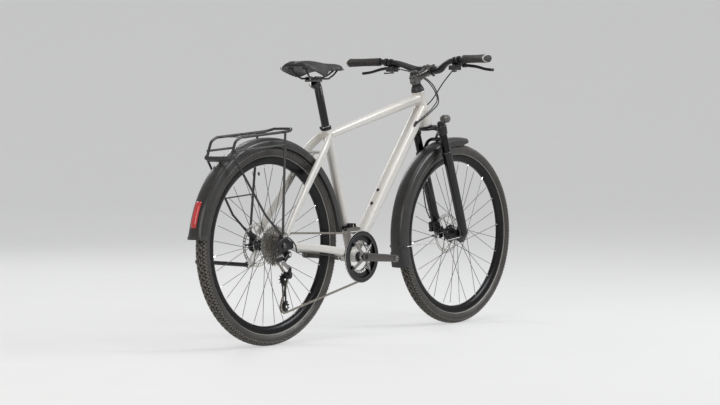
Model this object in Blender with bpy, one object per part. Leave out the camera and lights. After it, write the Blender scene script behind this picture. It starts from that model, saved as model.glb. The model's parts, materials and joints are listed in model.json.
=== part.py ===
"""A hybrid bicycle with mudguards, rack, lamps and disc brakes, standing upright with its stand folded.

Metres. +X is forward, +Y is the rider's left and +Z is up. Sizes are first given from the point on the
ground under the rear axle, and shift_x then moves the whole object so that the origin is under its middle.
"""
import math

import bmesh
import bpy
from mathutils import Matrix, Vector

for old in list(bpy.data.objects):
    bpy.data.objects.remove(old, do_unlink=True)

X = Vector((1, 0, 0))
Y = Vector((0, 1, 0))
Z = Vector((0, 0, 1))
GAP = 0.0003

# Driving sizes
tyre_radius = 0.361
tyre_half_width = 0.025
tyre_height = 0.044
rim_depth = 0.0265
wheelbase = 1.118
tyre_to_bracket = 0.102
bracket_drop = 0.061
head_behind_axle = 0.2448
head_above_wheels = 0.2084
head_angle = math.radians(70.6)
head_length = 0.141
seat_angle = math.radians(73.2)
seat_tube_top = 0.490
chain_y = -0.0445
chain_pitch = 0.0127
ring_teeth = 44
inner_ring_teeth = 30
cog_teeth = 22
pulley_teeth = 11
crank_length = 0.170
crank_rest_angle = math.radians(-4.4)
guard_gap = 0.026
front_guard_gap = 0.028
rear_hub_half = 0.0675
front_hub_half = 0.050

bead_radius = tyre_radius - tyre_height
rim_inner = bead_radius - rim_depth
bracket_x = tyre_radius + tyre_to_bracket
bracket_z = tyre_radius - bracket_drop
head_top_x = wheelbase - head_behind_axle
head_top_z = 2 * tyre_radius + head_above_wheels
mudguard_outer = tyre_radius + guard_gap
mudguard_half_width = 0.033
mudguard_wall = 0.0018
rear_guard_end = 175.0
rear_most = mudguard_outer * math.cos(math.radians(rear_guard_end))
shift_x = -(wheelbase + tyre_radius + rear_most) / 2

rear_axle = Vector((0, 0, tyre_radius))
front_axle = Vector((wheelbase, 0, tyre_radius))
bracket = Vector((bracket_x, 0, bracket_z))
head_top = Vector((head_top_x, 0, head_top_z))


def on_rear(x, y, z):
    """A place given from the rear axle."""
    return rear_axle + Vector((x, y, z))


def on_front(x, y, z):
    """A place given from the front axle."""
    return front_axle + Vector((x, y, z))


def at_bracket(x, y, z):
    """A place given from the middle of the bottom bracket."""
    return bracket + Vector((x, y, z))


def at_head(x, y, z):
    """A place given from the top of the head tube."""
    return head_top + Vector((x, y, z))


def over_guard(x, y, z):
    """A place whose height is given from the top of the rear mudguard."""
    return Vector((x, y, rear_axle.z + mudguard_outer + z))

down_the_fork = Vector((math.cos(head_angle), 0, -math.sin(head_angle)))
ahead_of_fork = Vector((math.sin(head_angle), 0, math.cos(head_angle)))
up_the_seat = Vector((-math.cos(seat_angle), 0, math.sin(seat_angle)))
axle_down = (front_axle - head_top).dot(down_the_fork)
axle_ahead = (front_axle - head_top).dot(ahead_of_fork)

leg_y = 0.065
leg_ahead = 0.017
leg_radius = 0.0195
stanchion_radius = 0.0155
leg_top = 0.262
leg_bottom = axle_down - 0.004
crown_top = 0.147
crown_bottom = 0.186
steerer_radius = 0.0143
seatpost_radius = 0.015
seat_tube_radius = 0.0172
bar_radius = 0.0111
bar_clamp = at_head(0.0698, 0, 0.0836)
bar_half_width = 0.345
grip_length = 0.133
grip_start = bar_half_width - grip_length
dropout_thickness = 0.006
rack_half_width = 0.058
rack_tube = 0.005
hanger = on_rear(0.016, 0, -0.031)
guide_pulley = on_rear(0.03, 0, -0.121)
cage_length = 0.100


def fork(down, ahead, y=0.0):
    """A place given along the steering axis from the top of the head tube, ahead of it and to the left."""
    return head_top + down_the_fork * down + ahead_of_fork * ahead + Y * y


def seat(height, y=0.0, ahead=0.0):
    """A place on the seat tube's axis, given by its height above the bracket."""
    along = height / up_the_seat.z
    return bracket + up_the_seat * along + Vector((ahead, y, 0))


# Materials
def material(name, colour, roughness, metallic=0.0):
    made = bpy.data.materials.new(name)
    made.use_nodes = True
    shader = made.node_tree.nodes["Principled BSDF"]
    shader.inputs["Base Color"].default_value = (*colour, 1)
    shader.inputs["Roughness"].default_value = roughness
    shader.inputs["Metallic"].default_value = metallic
    made.diffuse_color = (*colour, 1)
    made.roughness = roughness
    made.metallic = metallic
    return made


def paints():
    return {
        "pearl": material("pearl", (0.74, 0.72, 0.68), 0.28, 0.15),
        "black": material("black", (0.018, 0.018, 0.019), 0.42, 0.2),
        "satin": material("satin", (0.035, 0.035, 0.037), 0.38, 0.6),
        "plastic": material("plastic", (0.024, 0.024, 0.025), 0.55),
        "guard": material("guard", (0.035, 0.034, 0.033), 0.45),
        "rubber": material("rubber", (0.020, 0.019, 0.018), 0.85),
        "tyre": material("tyre", (0.024, 0.022, 0.020), 0.9),
        "steel": material("steel", (0.45, 0.45, 0.44), 0.3, 1.0),
        "silver": material("silver", (0.70, 0.70, 0.69), 0.25, 1.0),
        "red": material("red", (0.55, 0.01, 0.015), 0.2),
        "cover": material("cover", (0.022, 0.021, 0.020), 0.6),
    }


# Mesh makers: each gives a bmesh, which piece() turns into a node
def faces_between(bm, lower, upper, closed=True):
    count = max(len(lower), len(upper))
    last = count if closed else count - 1
    for i in range(last):
        j = (i + 1) % count
        a = lower[i % len(lower)]
        b = lower[j % len(lower)]
        c = upper[j % len(upper)]
        d = upper[i % len(upper)]
        corners = [a, b, c, d]
        unique = [v for k, v in enumerate(corners) if v not in corners[:k]]
        if len(unique) > 2:
            bm.faces.new(unique)


def finished(bm):
    bmesh.ops.recalc_face_normals(bm, faces=bm.faces)
    return bm


def lathe(profile, base, axis, steps, ring=False, turn=0.0):
    """Turns (radius, along) pairs about an axis. ring joins the last pair to the first, for a pierced shape."""
    bm = bmesh.new()
    axis = axis.normalized()
    side = axis.orthogonal().normalized() if abs(axis.y) < 0.5 else X.copy()
    side = (side - axis * side.dot(axis)).normalized()
    other = axis.cross(side)
    loops = []
    for radius, along in profile:
        centre = base + axis * along
        if radius == 0:
            loops.append([bm.verts.new(centre)])
            continue
        loop = []
        for i in range(steps):
            angle = 2 * math.pi * i / steps + turn
            loop.append(bm.verts.new(centre + (side * math.cos(angle) + other * math.sin(angle)) * radius))
        loops.append(loop)
    for lower, upper in zip(loops, loops[1:]):
        faces_between(bm, lower, upper)
    if ring:
        faces_between(bm, loops[-1], loops[0])
    else:
        for loop in (loops[0], loops[-1]):
            if len(loop) > 1:
                bm.faces.new(loop)
    return finished(bm)


def circle_section(radius, sides, wide=1.0, tall=1.0):
    turn = math.pi / sides
    points = []
    for i in range(sides):
        angle = 2 * math.pi * i / sides + turn
        points.append((radius * wide * math.cos(angle), radius * tall * math.sin(angle)))
    return points


def box_section(width, height, corner):
    w = width / 2
    h = height / 2
    c = corner
    return [(w - c, -h), (w, -h + c), (w, h - c), (w - c, h), (-w + c, h), (-w, h - c), (-w, -h + c), (-w + c,
                                                                                                       -h)]


def frames(points, up, closed=False):
    """(side, up) at each point of a path, with up kept near the given direction."""
    found = []
    count = len(points)
    for i in range(count):
        before = points[(i - 1) % count] if closed else points[max(i - 1, 0)]
        after = points[(i + 1) % count] if closed else points[min(i + 1, count - 1)]
        along = (after - before).normalized()
        side = along.cross(up).normalized()
        found.append((side, side.cross(along).normalized()))
    return found


def sweep(points, sections, up=Z, closed=False):
    """Runs a section, or one section for each point, along a path."""
    bm = bmesh.new()
    if isinstance(sections[0], tuple):
        sections = [sections] * len(points)
    loops = []
    for point, section, (side, upward) in zip(points, sections, frames(points, up, closed)):
        loops.append([bm.verts.new(point + side * a + upward * b) for a, b in section])
    for lower, upper in zip(loops, loops[1:]):
        faces_between(bm, lower, upper)
    if closed:
        faces_between(bm, loops[-1], loops[0])
    else:
        bm.faces.new(loops[0])
        bm.faces.new(loops[-1])
    return finished(bm)


def rod(start, end, radius, sides=8, end_radius=None):
    up = X if abs((end - start).normalized().z) > 0.8 else Z
    if abs((end - start).normalized().dot(up)) > 0.9:
        up = Y
    last = radius if end_radius is None else end_radius
    return sweep([start, end], [circle_section(radius, sides), circle_section(last, sides)], up)


def block(centre, size, along=X, side=Y):
    """A box with its own length and side directions."""
    bm = bmesh.new()
    bmesh.ops.create_cube(bm, size=1)
    along = along.normalized()
    side = side.normalized()
    upward = along.cross(side)
    turn = Matrix((along * size[0], side * size[1], upward * size[2])).transposed().to_4x4()
    bmesh.ops.transform(bm, matrix=Matrix.Translation(centre) @ turn, verts=bm.verts)
    return finished(bm)


def plate(origin, outline, y_low, y_high):
    """An outline of (x, z) pairs from an origin, given thickness along Y."""
    bm = bmesh.new()
    low = [bm.verts.new(origin + Vector((x, y_low, z))) for x, z in outline]
    high = [bm.verts.new(origin + Vector((x, y_high, z))) for x, z in outline]
    faces_between(bm, low, high)
    bm.faces.new(low)
    bm.faces.new(high)
    return finished(bm)


def plate_between(outline, origin, right, up, thickness):
    """An outline in the plane of right and up, given thickness to both sides of that plane."""
    bm = bmesh.new()
    through = right.cross(up).normalized() * (thickness / 2)
    low = [bm.verts.new(origin + right * a + up * b - through) for a, b in outline]
    high = [bm.verts.new(origin + right * a + up * b + through) for a, b in outline]
    faces_between(bm, low, high)
    bm.faces.new(low)
    bm.faces.new(high)
    return finished(bm)


def smooth_path(points, per_span):
    """A Catmull-Rom curve through the points, read at equal steps of its parameter."""
    made = []
    ends = [points[0] * 2 - points[1]] + list(points) + [points[-1] * 2 - points[-2]]
    for i in range(1, len(ends) - 2):
        a, b, c, d = ends[i - 1 : i + 3]
        for k in range(per_span):
            t = k / per_span
            made.append(
                0.5
                * (
                    b * 2
                    + (c - a) * t
                    + (a * 2 - b * 5 + c * 4 - d) * t * t
                    + (b * 3 - a - c * 3 + d) * t * t * t
                )
            )
    made.append(points[-1].copy())
    return made


def mirrored(points):
    return [Vector((p.x, -p.y, p.z)) for p in points]


# Making nodes
def piece(name, bm, paint, pivot=None, sharp=35):
    """One node. Its origin is at pivot, which lies on the joint's axis of a moving piece."""
    pivot = Vector((0, 0, 0)) if pivot is None else pivot
    mesh = bpy.data.meshes.new(name)
    for v in bm.verts:
        v.co -= pivot
    bm.to_mesh(mesh)
    bm.free()
    mesh.materials.append(paint)
    mesh.shade_smooth()
    mesh.set_sharp_from_angle(angle=math.radians(sharp))
    obj = bpy.data.objects.new(name, mesh)
    obj.location = pivot + Vector((shift_x, 0, 0))
    bpy.context.scene.collection.objects.link(obj)
    return obj


def combined(first, others, operation):
    """One bmesh from a Boolean of several, made by the exact solver."""
    scratch = []
    for bm in [first] + list(others):
        mesh = bpy.data.meshes.new("scratch")
        bm.to_mesh(mesh)
        bm.free()
        obj = bpy.data.objects.new("scratch", mesh)
        bpy.context.scene.collection.objects.link(obj)
        scratch.append(obj)
    body = scratch[0]
    for other in scratch[1:]:
        step = body.modifiers.new("step", "BOOLEAN")
        step.operation = operation
        step.solver = "EXACT"
        step.object = other
    graph = bpy.context.evaluated_depsgraph_get()
    made = bmesh.new()
    made.from_mesh(body.evaluated_get(graph).to_mesh())
    for obj in scratch:
        mesh = obj.data
        bpy.data.objects.remove(obj, do_unlink=True)
        bpy.data.meshes.remove(mesh)
    bmesh.ops.remove_doubles(made, verts=made.verts, dist=1e-6)
    bmesh.ops.dissolve_limit(made, angle_limit=math.radians(0.5), verts=made.verts, edges=made.edges)
    bmesh.ops.triangulate(made, faces=made.faces)
    return made


def joined(*parts):
    return combined(parts[0], parts[1:], "UNION")


def cut(body, *cutters):
    return combined(body, cutters, "DIFFERENCE")


# Frame
def head_tube_shape(extra=0.0):
    outer_top = 0.0255 + extra
    outer_bottom = 0.0285 + extra
    return [(outer_top, 0), (outer_top - 0.0008, head_length * 0.4), (outer_bottom, head_length * 0.9),
            (outer_bottom, head_length)]


head_bore = 0.0175


def head_tube(paint):
    outer = head_tube_shape()
    profile = [(head_bore, 0)] + outer + [(head_bore, head_length)]
    piece("head_tube", lathe(profile, head_top, down_the_fork, 20, ring=True), paint["pearl"])


def head_cutter():
    shape = head_tube_shape(GAP)
    above = (shape[0][0], -0.05)
    below = (shape[-1][0], head_length + 0.05)
    return lathe([above] + shape + [below], head_top, down_the_fork, 20)


shell_radius = 0.0215
shell_half = 0.0365
axle_radius = 0.012


def shell_cutter():
    return lathe([(shell_radius + GAP, -0.1), (shell_radius + GAP, 0.1)], bracket, Y, 20)


def seat_cutter(extra=GAP):
    radius = seat_tube_radius + extra
    return lathe([(radius, -0.05), (radius, 0.62)], bracket, up_the_seat, 20)


down_tube_end = at_head(0.0225, 0, -0.0641)
down_tube_front = 0.046
down_tube_back = 0.034
top_tube_rear = at_bracket(-0.137, 0, 0.4546)
top_tube_front = at_head(0.0091, 0, -0.0261)


def down_tube_sweep(extra=0.0):
    start = bracket
    along = (down_tube_end - start).normalized()
    stations = [0.0, 0.10, 0.30, 0.55, 0.80, 0.99]
    length = (down_tube_end - start).length
    points = [start + along * (length * t) for t in stations]
    sections = []
    for t in stations:
        depth = down_tube_back + (down_tube_front - down_tube_back) * min(t / 0.55, 1.0) + 2 * extra
        sections.append(box_section(down_tube_front + 2 * extra, depth, 0.010))
    return sweep(points, sections)


def top_tube_sweep():
    along = (top_tube_front - top_tube_rear).normalized()
    length = (top_tube_front - top_tube_rear).length
    stations = [-0.01, 0.25, 0.6, 0.99]
    points = [top_tube_rear + along * (length * t) for t in stations]
    sections = []
    for t in stations:
        tall = 0.027 + 0.011 * max(t, 0)
        wide = 0.030 + 0.009 * max(t, 0)
        sections.append(box_section(wide, tall, 0.008))
    return sweep(points, sections)


def bottle_bosses():
    along = (down_tube_end - bracket).normalized()
    upward = along.cross(Y).normalized() * -1
    if upward.z < 0:
        upward = -upward
    bosses = []
    for x, z in ((0.159, 0.249), (0.121, 0.199)):
        centre = at_bracket(x, 0, z)
        on_axis = bracket + along * (centre - bracket).dot(along)
        bosses.append(rod(on_axis + upward * 0.010, on_axis + upward * 0.0265, 0.005, 8))
    return bosses


def main_tubes(paint):
    down = cut(joined(down_tube_sweep(), *bottle_bosses()), head_cutter(), shell_cutter(), seat_cutter())
    piece("down_tube", down, paint["pearl"])
    top = cut(top_tube_sweep(), head_cutter(), seat_cutter(), down_tube_sweep(GAP))
    piece("top_tube", top, paint["pearl"])
    length = seat_tube_top / up_the_seat.z
    bore = seatpost_radius + GAP
    bore_end = length - 0.300
    tube = lathe([(seat_tube_radius, 0), (seat_tube_radius, length), (bore, length), (bore, bore_end), (0,
                                                                                                        bore_end)],
                 bracket, up_the_seat, 20)
    piece("seat_tube", cut(tube, shell_cutter(), yoke_block(GAP)), paint["pearl"])


def yoke_block(extra=0.0):
    return block(Vector((yoke_back + 0.040, 0, bracket_z + 0.010)), (0.080, 0.070, 0.022 + 2 * extra))


yoke_back = bracket_x - 0.094


def bracket_shell(paint):
    bore = axle_radius + 0.001
    barrel = lathe([(shell_radius, -shell_half), (shell_radius, shell_half)], bracket, Y, 20)
    yoke = yoke_block()
    prongs = [block(Vector((yoke_back - 0.008, side * 0.0310, bracket_z + 0.0165)), (0.040, 0.0075, 0.024))
              for side in (-1, 1)]
    through = lathe([(bore, -0.1), (bore, 0.1)], bracket, Y, 16)
    whole = cut(joined(barrel, yoke, *prongs), through)
    piece("bottom_bracket_shell", whole, paint["pearl"])


def stay_path(side):
    return [at_bracket(-0.145, side * 0.0175, 0.459), at_bracket(-0.163, side * 0.028, 0.442),
            at_bracket(-0.213, side * 0.045, 0.392), on_rear(0.15, side * 0.052, 0.205),
            on_rear(0.06, side * 0.063, 0.09), on_rear(0.021, side * 0.0705, 0.04)]


def seatstay(paint, side, name):
    path = stay_path(side)
    sections = [box_section(w, h, 0.004) for w, h in
                ((0.017, 0.019), (0.018, 0.029), (0.018, 0.030), (0.017, 0.027), (0.013, 0.027), (0.0065,
                                                                                                  0.022))]
    middle = block(at_bracket(-0.163, -side * 0.05, 0.4), (0.4, 0.1 - 2 * GAP, 0.4))
    body = cut(sweep(path, sections), seat_cutter(), middle)
    piece(name, body, paint["pearl"])


def dropout_outline():
    return [(-0.03, -0.006), (-0.024, 0.011), (-0.022, 0.039), (-0.01, 0.045), (0.006, 0.035), (0.034, 0.019),
            (0.052, 0.011), (0.052, -0.011), (0.026, -0.015), (0.022, -0.039), (0.008, -0.041), (-0.004,
                                                                                                 -0.027),
            (-0.022, -0.021)]


def stand_bracket_outline():
    return [(0.03, -0.009), (-0.008, -0.009), (-0.034, -0.061), (-0.034, -0.083), (-0.01, -0.085), (0.01,
                                                                                                    -0.061)]


dropout_inner = rear_hub_half + GAP
stand_pivot = on_rear(-0.0226, 0.0809, -0.073)


def chainstay(paint, side, name):
    path = [on_rear(0.034, side * 0.0685, 0.001), on_rear(0.18, side * 0.0580, -0.0145),
            at_bracket(-0.104, side * 0.0450, 0.0235)]
    sections = [box_section(0.013, 0.024, 0.003), box_section(0.017, 0.028, 0.004), box_section(0.018, 0.030,
                                                                                                0.004)]
    outline = dropout_outline()
    low = dropout_inner
    high = dropout_inner + dropout_thickness
    if side < 0:
        low, high = -high, -low
    parts = [sweep(path, sections), plate(rear_axle, outline, low, high)]
    face = side * (dropout_inner + dropout_thickness - 0.001)
    parts.append(rod(Vector((0, face, tyre_radius)), Vector((0, face + side * 0.008, tyre_radius)), 0.009, 8))
    if side > 0:
        parts.append(plate(rear_axle, stand_bracket_outline(), 0.0655, 0.0725))
    piece(name, cut(joined(*parts), stay_notch(side)), paint["pearl"])


def stay_notch(side):
    """Clears the seatstay's foot out of the dropout."""
    path = stay_path(side)[-2:]
    path = [path[0], path[1] + (path[1] - path[0]) * 0.02]
    return sweep(path, [box_section(0.0125, 0.021, 0.004), box_section(0.0072, 0.0186, 0.003)])


def stay_bridge(paint):
    inner = 0.0335
    bar = rod(at_bracket(-0.213, -inner, 0.394), at_bracket(-0.213, inner, 0.394), 0.0075, 10)
    middle = at_bracket(-0.213, 0, 0.394)
    bolt = rod(on_rear_guard(middle), middle, 0.005, 8)
    piece("stay_bridge", joined(bar, bolt), paint["satin"])


def seat_clamp(paint):
    radius = seat_tube_radius + GAP
    base = seat(seat_tube_top - 0.0135)
    ring = lathe([(radius, 0), (radius + 0.0027, 0.0006), (radius + 0.0027, 0.0130), (radius, 0.0135)], base,
                 up_the_seat, 20, ring=True)
    ears = block(seat(seat_tube_top - 0.0070, ahead=-0.0235), (0.010, 0.014, 0.010))
    piece("seat_clamp", joined(ring, ears), paint["satin"])


# Mudguards, lights and rack
def mudguard_section(half, wall, depth, flare=0.0):
    """Across the tyre and outward: x is sideways, y is measured outward from the crown."""
    h = half + flare
    return [(-h, -depth), (-h, -0.007), (-half + 0.007, 0), (half - 0.007, 0), (h, -0.007), (h, -depth),
            (h - wall, -depth), (h - wall, -0.0078), (half - 0.0078, -wall), (-half + 0.0078, -wall),
            (-h + wall, -0.0078), (-h + wall, -depth)]


def arc_sweep(centre, radius, first, last, stations, section_of):
    """Runs sections along an arc about an axle. Angles are degrees from straight ahead, over the top."""
    bm = bmesh.new()
    loops = []
    for i in range(stations + 1):
        share = i / stations
        angle = math.radians(first + (last - first) * share)
        outward = Vector((math.cos(angle), 0, math.sin(angle)))
        loops.append([bm.verts.new(centre + outward * (radius + b) + Y * a) for a, b in section_of(share)])
    for lower, upper in zip(loops, loops[1:]):
        faces_between(bm, lower, upper)
    bm.faces.new(loops[0])
    bm.faces.new(loops[-1])
    return finished(bm)


def guard_surface(centre, toward, radius, first, last, stations):
    """The place on a mudguard's crown, which is made of flats, in the direction of a point, and just clear of it."""
    outward = (toward - centre).normalized()
    step = (last - first) / stations
    angle = math.degrees(math.atan2(outward.z, outward.x))
    off_middle = (angle - first) % step - step / 2
    flat_radius = radius * math.cos(math.radians(step / 2)) / math.cos(math.radians(off_middle))
    return centre + outward * (flat_radius + 2 * GAP)


rear_guard_start = 4.5
rear_guard_stations = 23
front_crown_radius = tyre_radius + front_guard_gap
front_guard_start = 82.6
front_guard_end = 198.0
front_guard_stations = 17


def on_rear_guard(toward):
    return guard_surface(rear_axle, toward, mudguard_outer, rear_guard_start, rear_guard_end,
                         rear_guard_stations)


def on_front_guard(toward):
    return guard_surface(front_axle, toward, front_crown_radius, front_guard_start, front_guard_end,
                         front_guard_stations)


def rear_mudguard(paint):
    def section(share):
        flare = 0.004 * max(0.0, (share - 0.965) / 0.035)
        depth = 0.036 if share > 0.04 else 0.024
        return mudguard_section(mudguard_half_width, mudguard_wall, depth, flare)

    body = arc_sweep(rear_axle, mudguard_outer, rear_guard_start, rear_guard_end, rear_guard_stations,
                     section)
    piece("rear_mudguard", body, paint["guard"])


def tail_light(paint):
    half_step = math.radians(14 / 5 / 2)
    inner = (mudguard_outer + GAP) / math.cos(half_step)
    thick = 0.0095
    outline = [(-0.0095, 0.0), (0.0095, 0.0), (0.012, 0.0025), (0.0105, thick - 0.002), (0.007, thick),
               (-0.007, thick), (-0.0105, thick - 0.002), (-0.012, 0.0025)]

    def section(share):
        tip = 0.82 if share in (0.0, 1.0) else 1.0
        return [(a * tip, b * tip) for a, b in outline]

    piece("tail_light", arc_sweep(rear_axle, inner, 155, 169, 5, section), paint["red"])


rack_rear = over_guard(-0.259, 0, -0.076)
rack_rail_front = over_guard(0.036, 0, 0.021)
rack_rail_back = over_guard(-0.206, 0, -0.001)


def on_side(point, side, y=rack_half_width):
    return Vector((point.x, side * y, point.z))


def rack_deck(paint):
    section = circle_section(rack_tube, 6)
    half = rack_half_width
    lift = over_guard(0.075, 0, 0.031)
    loop = [on_side(rack_rear, -1, half - 0.004), on_side(over_guard(-0.243, 0, -0.036), -1),
            on_side(rack_rail_back, -1), on_side(rack_rail_front, -1), on_side(over_guard(0.062, 0, 0.0255),
                                                                               -1, half - 0.006),
            on_side(lift, -1, half - 0.022)]
    loop = loop + mirrored(reversed(loop))
    parts = [sweep(loop, section)]
    for x, z in ((-0.185, 0.0012), (-0.03, 0.0150)):
        parts.append(block(over_guard(x, 0, z), (0.010, 2 * half, 0.004)))
    parts.append(block(Vector((rack_rear.x, 0, rack_rear.z)), (0.004, 2 * half - 0.006, 0.020), X + Z * 0.25))
    foot = Vector((rack_rear.x + 0.003, 0, rack_rear.z - 0.003))
    crown = on_rear_guard(foot)
    parts.append(rod(crown, foot + (foot - crown).normalized() * 0.004, 0.006, 8))
    piece("rack_deck", joined(*parts), paint["satin"])


def rack_side(paint, side, name):
    section_radius = 0.0042
    y_top = rack_half_width + (rack_tube + section_radius) * math.cos(math.pi / 6) + GAP
    rear_top = Vector((rack_rear.x + 0.006, side * y_top, rack_rear.z + 0.010))
    rear_bend = on_rear(-0.1, side * 0.0800, 0.109)
    rear_foot = on_rear(-0.016, side * 0.0795, 0.0375)
    front_top = over_guard(0.016, side * y_top, 0.022)
    front_foot = on_rear(-0.012, side * 0.0795, 0.034)
    parts = [sweep([rear_top, rear_bend, rear_foot], circle_section(section_radius, 6)),
             sweep([front_top, front_foot], circle_section(section_radius, 6), up=X),
             rod(over_guard(-0.245, side * y_top, -0.048), over_guard(0.008, side * y_top, -0.027),
                 section_radius, 6),
             rod(front_foot - Y * side * 0.0050, front_foot + Y * side * 0.006, 0.007, 8)]
    if side > 0:
        parts.append(rod(on_rear(-0.152, side * 0.074, 0.17), on_rear(-0.005, side * 0.076, 0.182), 0.0028,
                         6))
    piece(name, joined(*parts), paint["satin"])


# Wheels
wheel_steps = 40


def tyre(paint, centre, name):
    seat_y = 0.0128
    inner = bead_radius + 0.0006
    widest = tyre_half_width - 0.0015
    half = [(inner, seat_y), (bead_radius + 0.375 * tyre_height, widest),
            (bead_radius + 0.693 * tyre_height, widest), (tyre_radius, 0.0060)]
    profile = [(r, -y) for r, y in half] + [(r, y) for r, y in reversed(half)]
    return piece(name, lathe(profile, centre, Y, wheel_steps, ring=True), paint["tyre"], centre)


def rim(paint, centre, name):
    half = [(rim_inner, 0.0060), (rim_inner + rim_depth / 2, 0.0145), (bead_radius, 0.0150)]
    profile = [(r, -y) for r, y in half] + [(r, y) for r, y in reversed(half)]
    return piece(name, lathe(profile, centre, Y, wheel_steps, ring=True), paint["black"], centre, sharp=30)


def spoke_set(centre, flange_radius, flange_y, rim_reach):
    """32 spokes in one mesh, crossed three times, each pushed into its flange."""
    bm = bmesh.new()
    count = 32
    section = [(0.0013 * math.cos(a), 0.0013 * math.sin(a)) for a in (0, 2.094, 4.189)]
    for i in range(count):
        side = -1 if i % 2 else 1
        lean = 1 if (i // 2) % 2 else -1
        at_rim = 2 * math.pi * (i + 0.5) / count
        at_hub = at_rim + lean * math.radians(67.5)
        flange = flange_y[side > 0] + lean * 0.0012
        start = centre + Vector((math.cos(at_hub), 0,
                                 math.sin(at_hub))) * (flange_radius - 0.003) + Y * flange
        end = centre + Vector((math.cos(at_rim), 0, math.sin(at_rim))) * rim_reach + Y * (side * 0.0015)
        side_way, upward = frames([start, end], Y)[0]
        rings = [[bm.verts.new(p + side_way * a + upward * b) for a, b in section] for p in (start, end)]
        faces_between(bm, rings[0], rings[1])
        bm.faces.new(rings[0])
        bm.faces.new(rings[1])
    return finished(bm)


rotor_radius = 0.080
front_rotor_y = 0.0405
rear_rotor_y = 0.0520
rotor_half = 0.0009
carrier_radius = 0.0170
rotor_arms = 5


def hub(paint, centre, name, profile, flange_radius, flange_y):
    rim_reach = rim_inner * math.cos(math.pi / wheel_steps) - GAP
    body = joined(lathe(profile, centre, Y, 12), spoke_set(centre, flange_radius, flange_y, rim_reach))
    return piece(name, body, paint["steel"], centre)


def front_hub(paint):
    left = front_rotor_y + rotor_half + 0.003
    right = 0.032
    flange = 0.036
    drum = 0.029
    profile = [(0.006, -front_hub_half + GAP), (0.006, -0.040), (0.014, -0.0375), (flange, -right - 0.0028),
               (flange, -right + 0.0028), (drum, -0.0265), (drum, 0.0165), (flange, 0.0192), (flange, 0.0248),
               (carrier_radius, 0.0265), (carrier_radius, left), (0.006, left + 0.002),
               (0.006, front_hub_half - GAP)]
    return hub(paint, front_axle, "hub_and_spokes_front", profile, flange - 0.0005, (-right, 0.022))


freehub_radius = 0.0165


def rear_hub(paint):
    left = rear_rotor_y + rotor_half + 0.003
    end = rear_hub_half - 2 * GAP
    profile = [(0.0065, -end), (0.0065, -0.0660), (freehub_radius, -0.0655), (freehub_radius, -0.0245),
               (0.0255, -0.0238), (0.0255, -0.0182), (0.016, -0.012), (0.016, 0.024), (0.0255,
                                                                                       0.0312), (0.0255,
                                                                                                 0.0368),
               (carrier_radius, 0.0385), (carrier_radius, left), (0.0065, left + 0.002), (0.0065, end)]
    return hub(paint, rear_axle, "hub_and_spokes_rear", profile, 0.0230, (-0.021, 0.034))


def rotor(paint, centre, y, name):
    base = centre + Y * y
    half = rotor_half
    band = lathe([(0.067, -half), (rotor_radius, -half), (rotor_radius, half), (0.067, half)], base, Y, 24,
                 ring=True)
    bore = carrier_radius + 0.0009
    carrier = lathe([(bore, -half), (0.026, -half), (0.026, half), (bore, half)], base, Y, 12, ring=True)
    arms = []
    for i in range(rotor_arms):
        inner_angle = 2 * math.pi * i / rotor_arms
        outer_angle = inner_angle + 0.42
        inner = Vector((math.cos(inner_angle), 0, math.sin(inner_angle))) * 0.0245
        outer = Vector((math.cos(outer_angle), 0, math.sin(outer_angle))) * 0.069
        along = outer - inner
        arms.append(block(base + (inner + outer) / 2, (along.length, 0.0014, 0.006), along, Y))
    return piece(name, joined(band, carrier, *arms), paint["steel"], centre)


# Fork and what it carries
def along_fork(profile, ahead, y, steps, ring=False):
    return lathe(profile, fork(0, ahead, y), down_the_fork, steps, ring)


travel = 0.063
stanchion_end = leg_top + 0.110
bore_radius = stanchion_radius + 0.0005
bore_end = stanchion_end + travel + 0.006
lock_top = 0.1330
steerer_top = -0.074


def fork_crown(paint):
    up = -down_the_fork
    ends = 0.161
    middle = 0.154
    path = [fork(ends, leg_ahead, -0.064), fork(middle + 0.001, 0.010, -0.034), fork(middle, 0.004, -0.012),
            fork(middle, 0.004, 0.012), fork(middle + 0.001, 0.010, 0.034), fork(ends, leg_ahead, 0.064)]
    sections = [box_section(w, h, 0.005) for w, h in
                ((0.034, 0.026), (0.036, 0.016), (0.046, 0.0175), (0.046, 0.0175), (0.036, 0.016), (0.034,
                                                                                                    0.026))]
    parts = [sweep(path, sections, up)]
    parts.append(along_fork([(steerer_radius, steerer_top), (steerer_radius, middle)], 0, 0, 16))
    for side in (-1, 1):
        y = side * leg_y
        cap = [(0.018, crown_top), (0.021, crown_top + 0.003), (0.0192, crown_bottom)]
        parts.append(along_fork(cap, leg_ahead, y, 14))
        parts.append(along_fork([(stanchion_radius, crown_bottom - 0.01), (stanchion_radius, stanchion_end)],
                                leg_ahead, y, 12))
    parts.append(along_fork([(0.012, crown_top - 0.006), (0.012, crown_top + 0.004)], leg_ahead, leg_y, 12))
    piece("fork_crown", joined(*parts), paint["black"])


def lockout_knob(paint):
    base = crown_top - GAP
    top = lock_top
    body = along_fork([(0.0105, top), (0.0130, top + 0.002), (0.0130, base - 0.004), (0.0150, base - 0.003),
                       (0.0150, base)],
                      leg_ahead, -leg_y, 12)
    tab = block(fork(base - 0.005, leg_ahead + 0.014, -leg_y), (0.012, 0.007, 0.005), ahead_of_fork, Y)
    piece("lockout_knob", joined(body, tab), paint["satin"], fork(base, leg_ahead, -leg_y))


def arch_path():
    half = [(0.292, 0.026, 0.066), (0.263, 0.0385, 0.063), (0.2345, 0.0510, 0.050), (0.2185, 0.0530, 0.027)]
    left = [fork(s, n, y) for s, n, y in half]
    return mirrored(left) + list(reversed(left))


front_dropout_inner = front_hub_half + GAP


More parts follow.
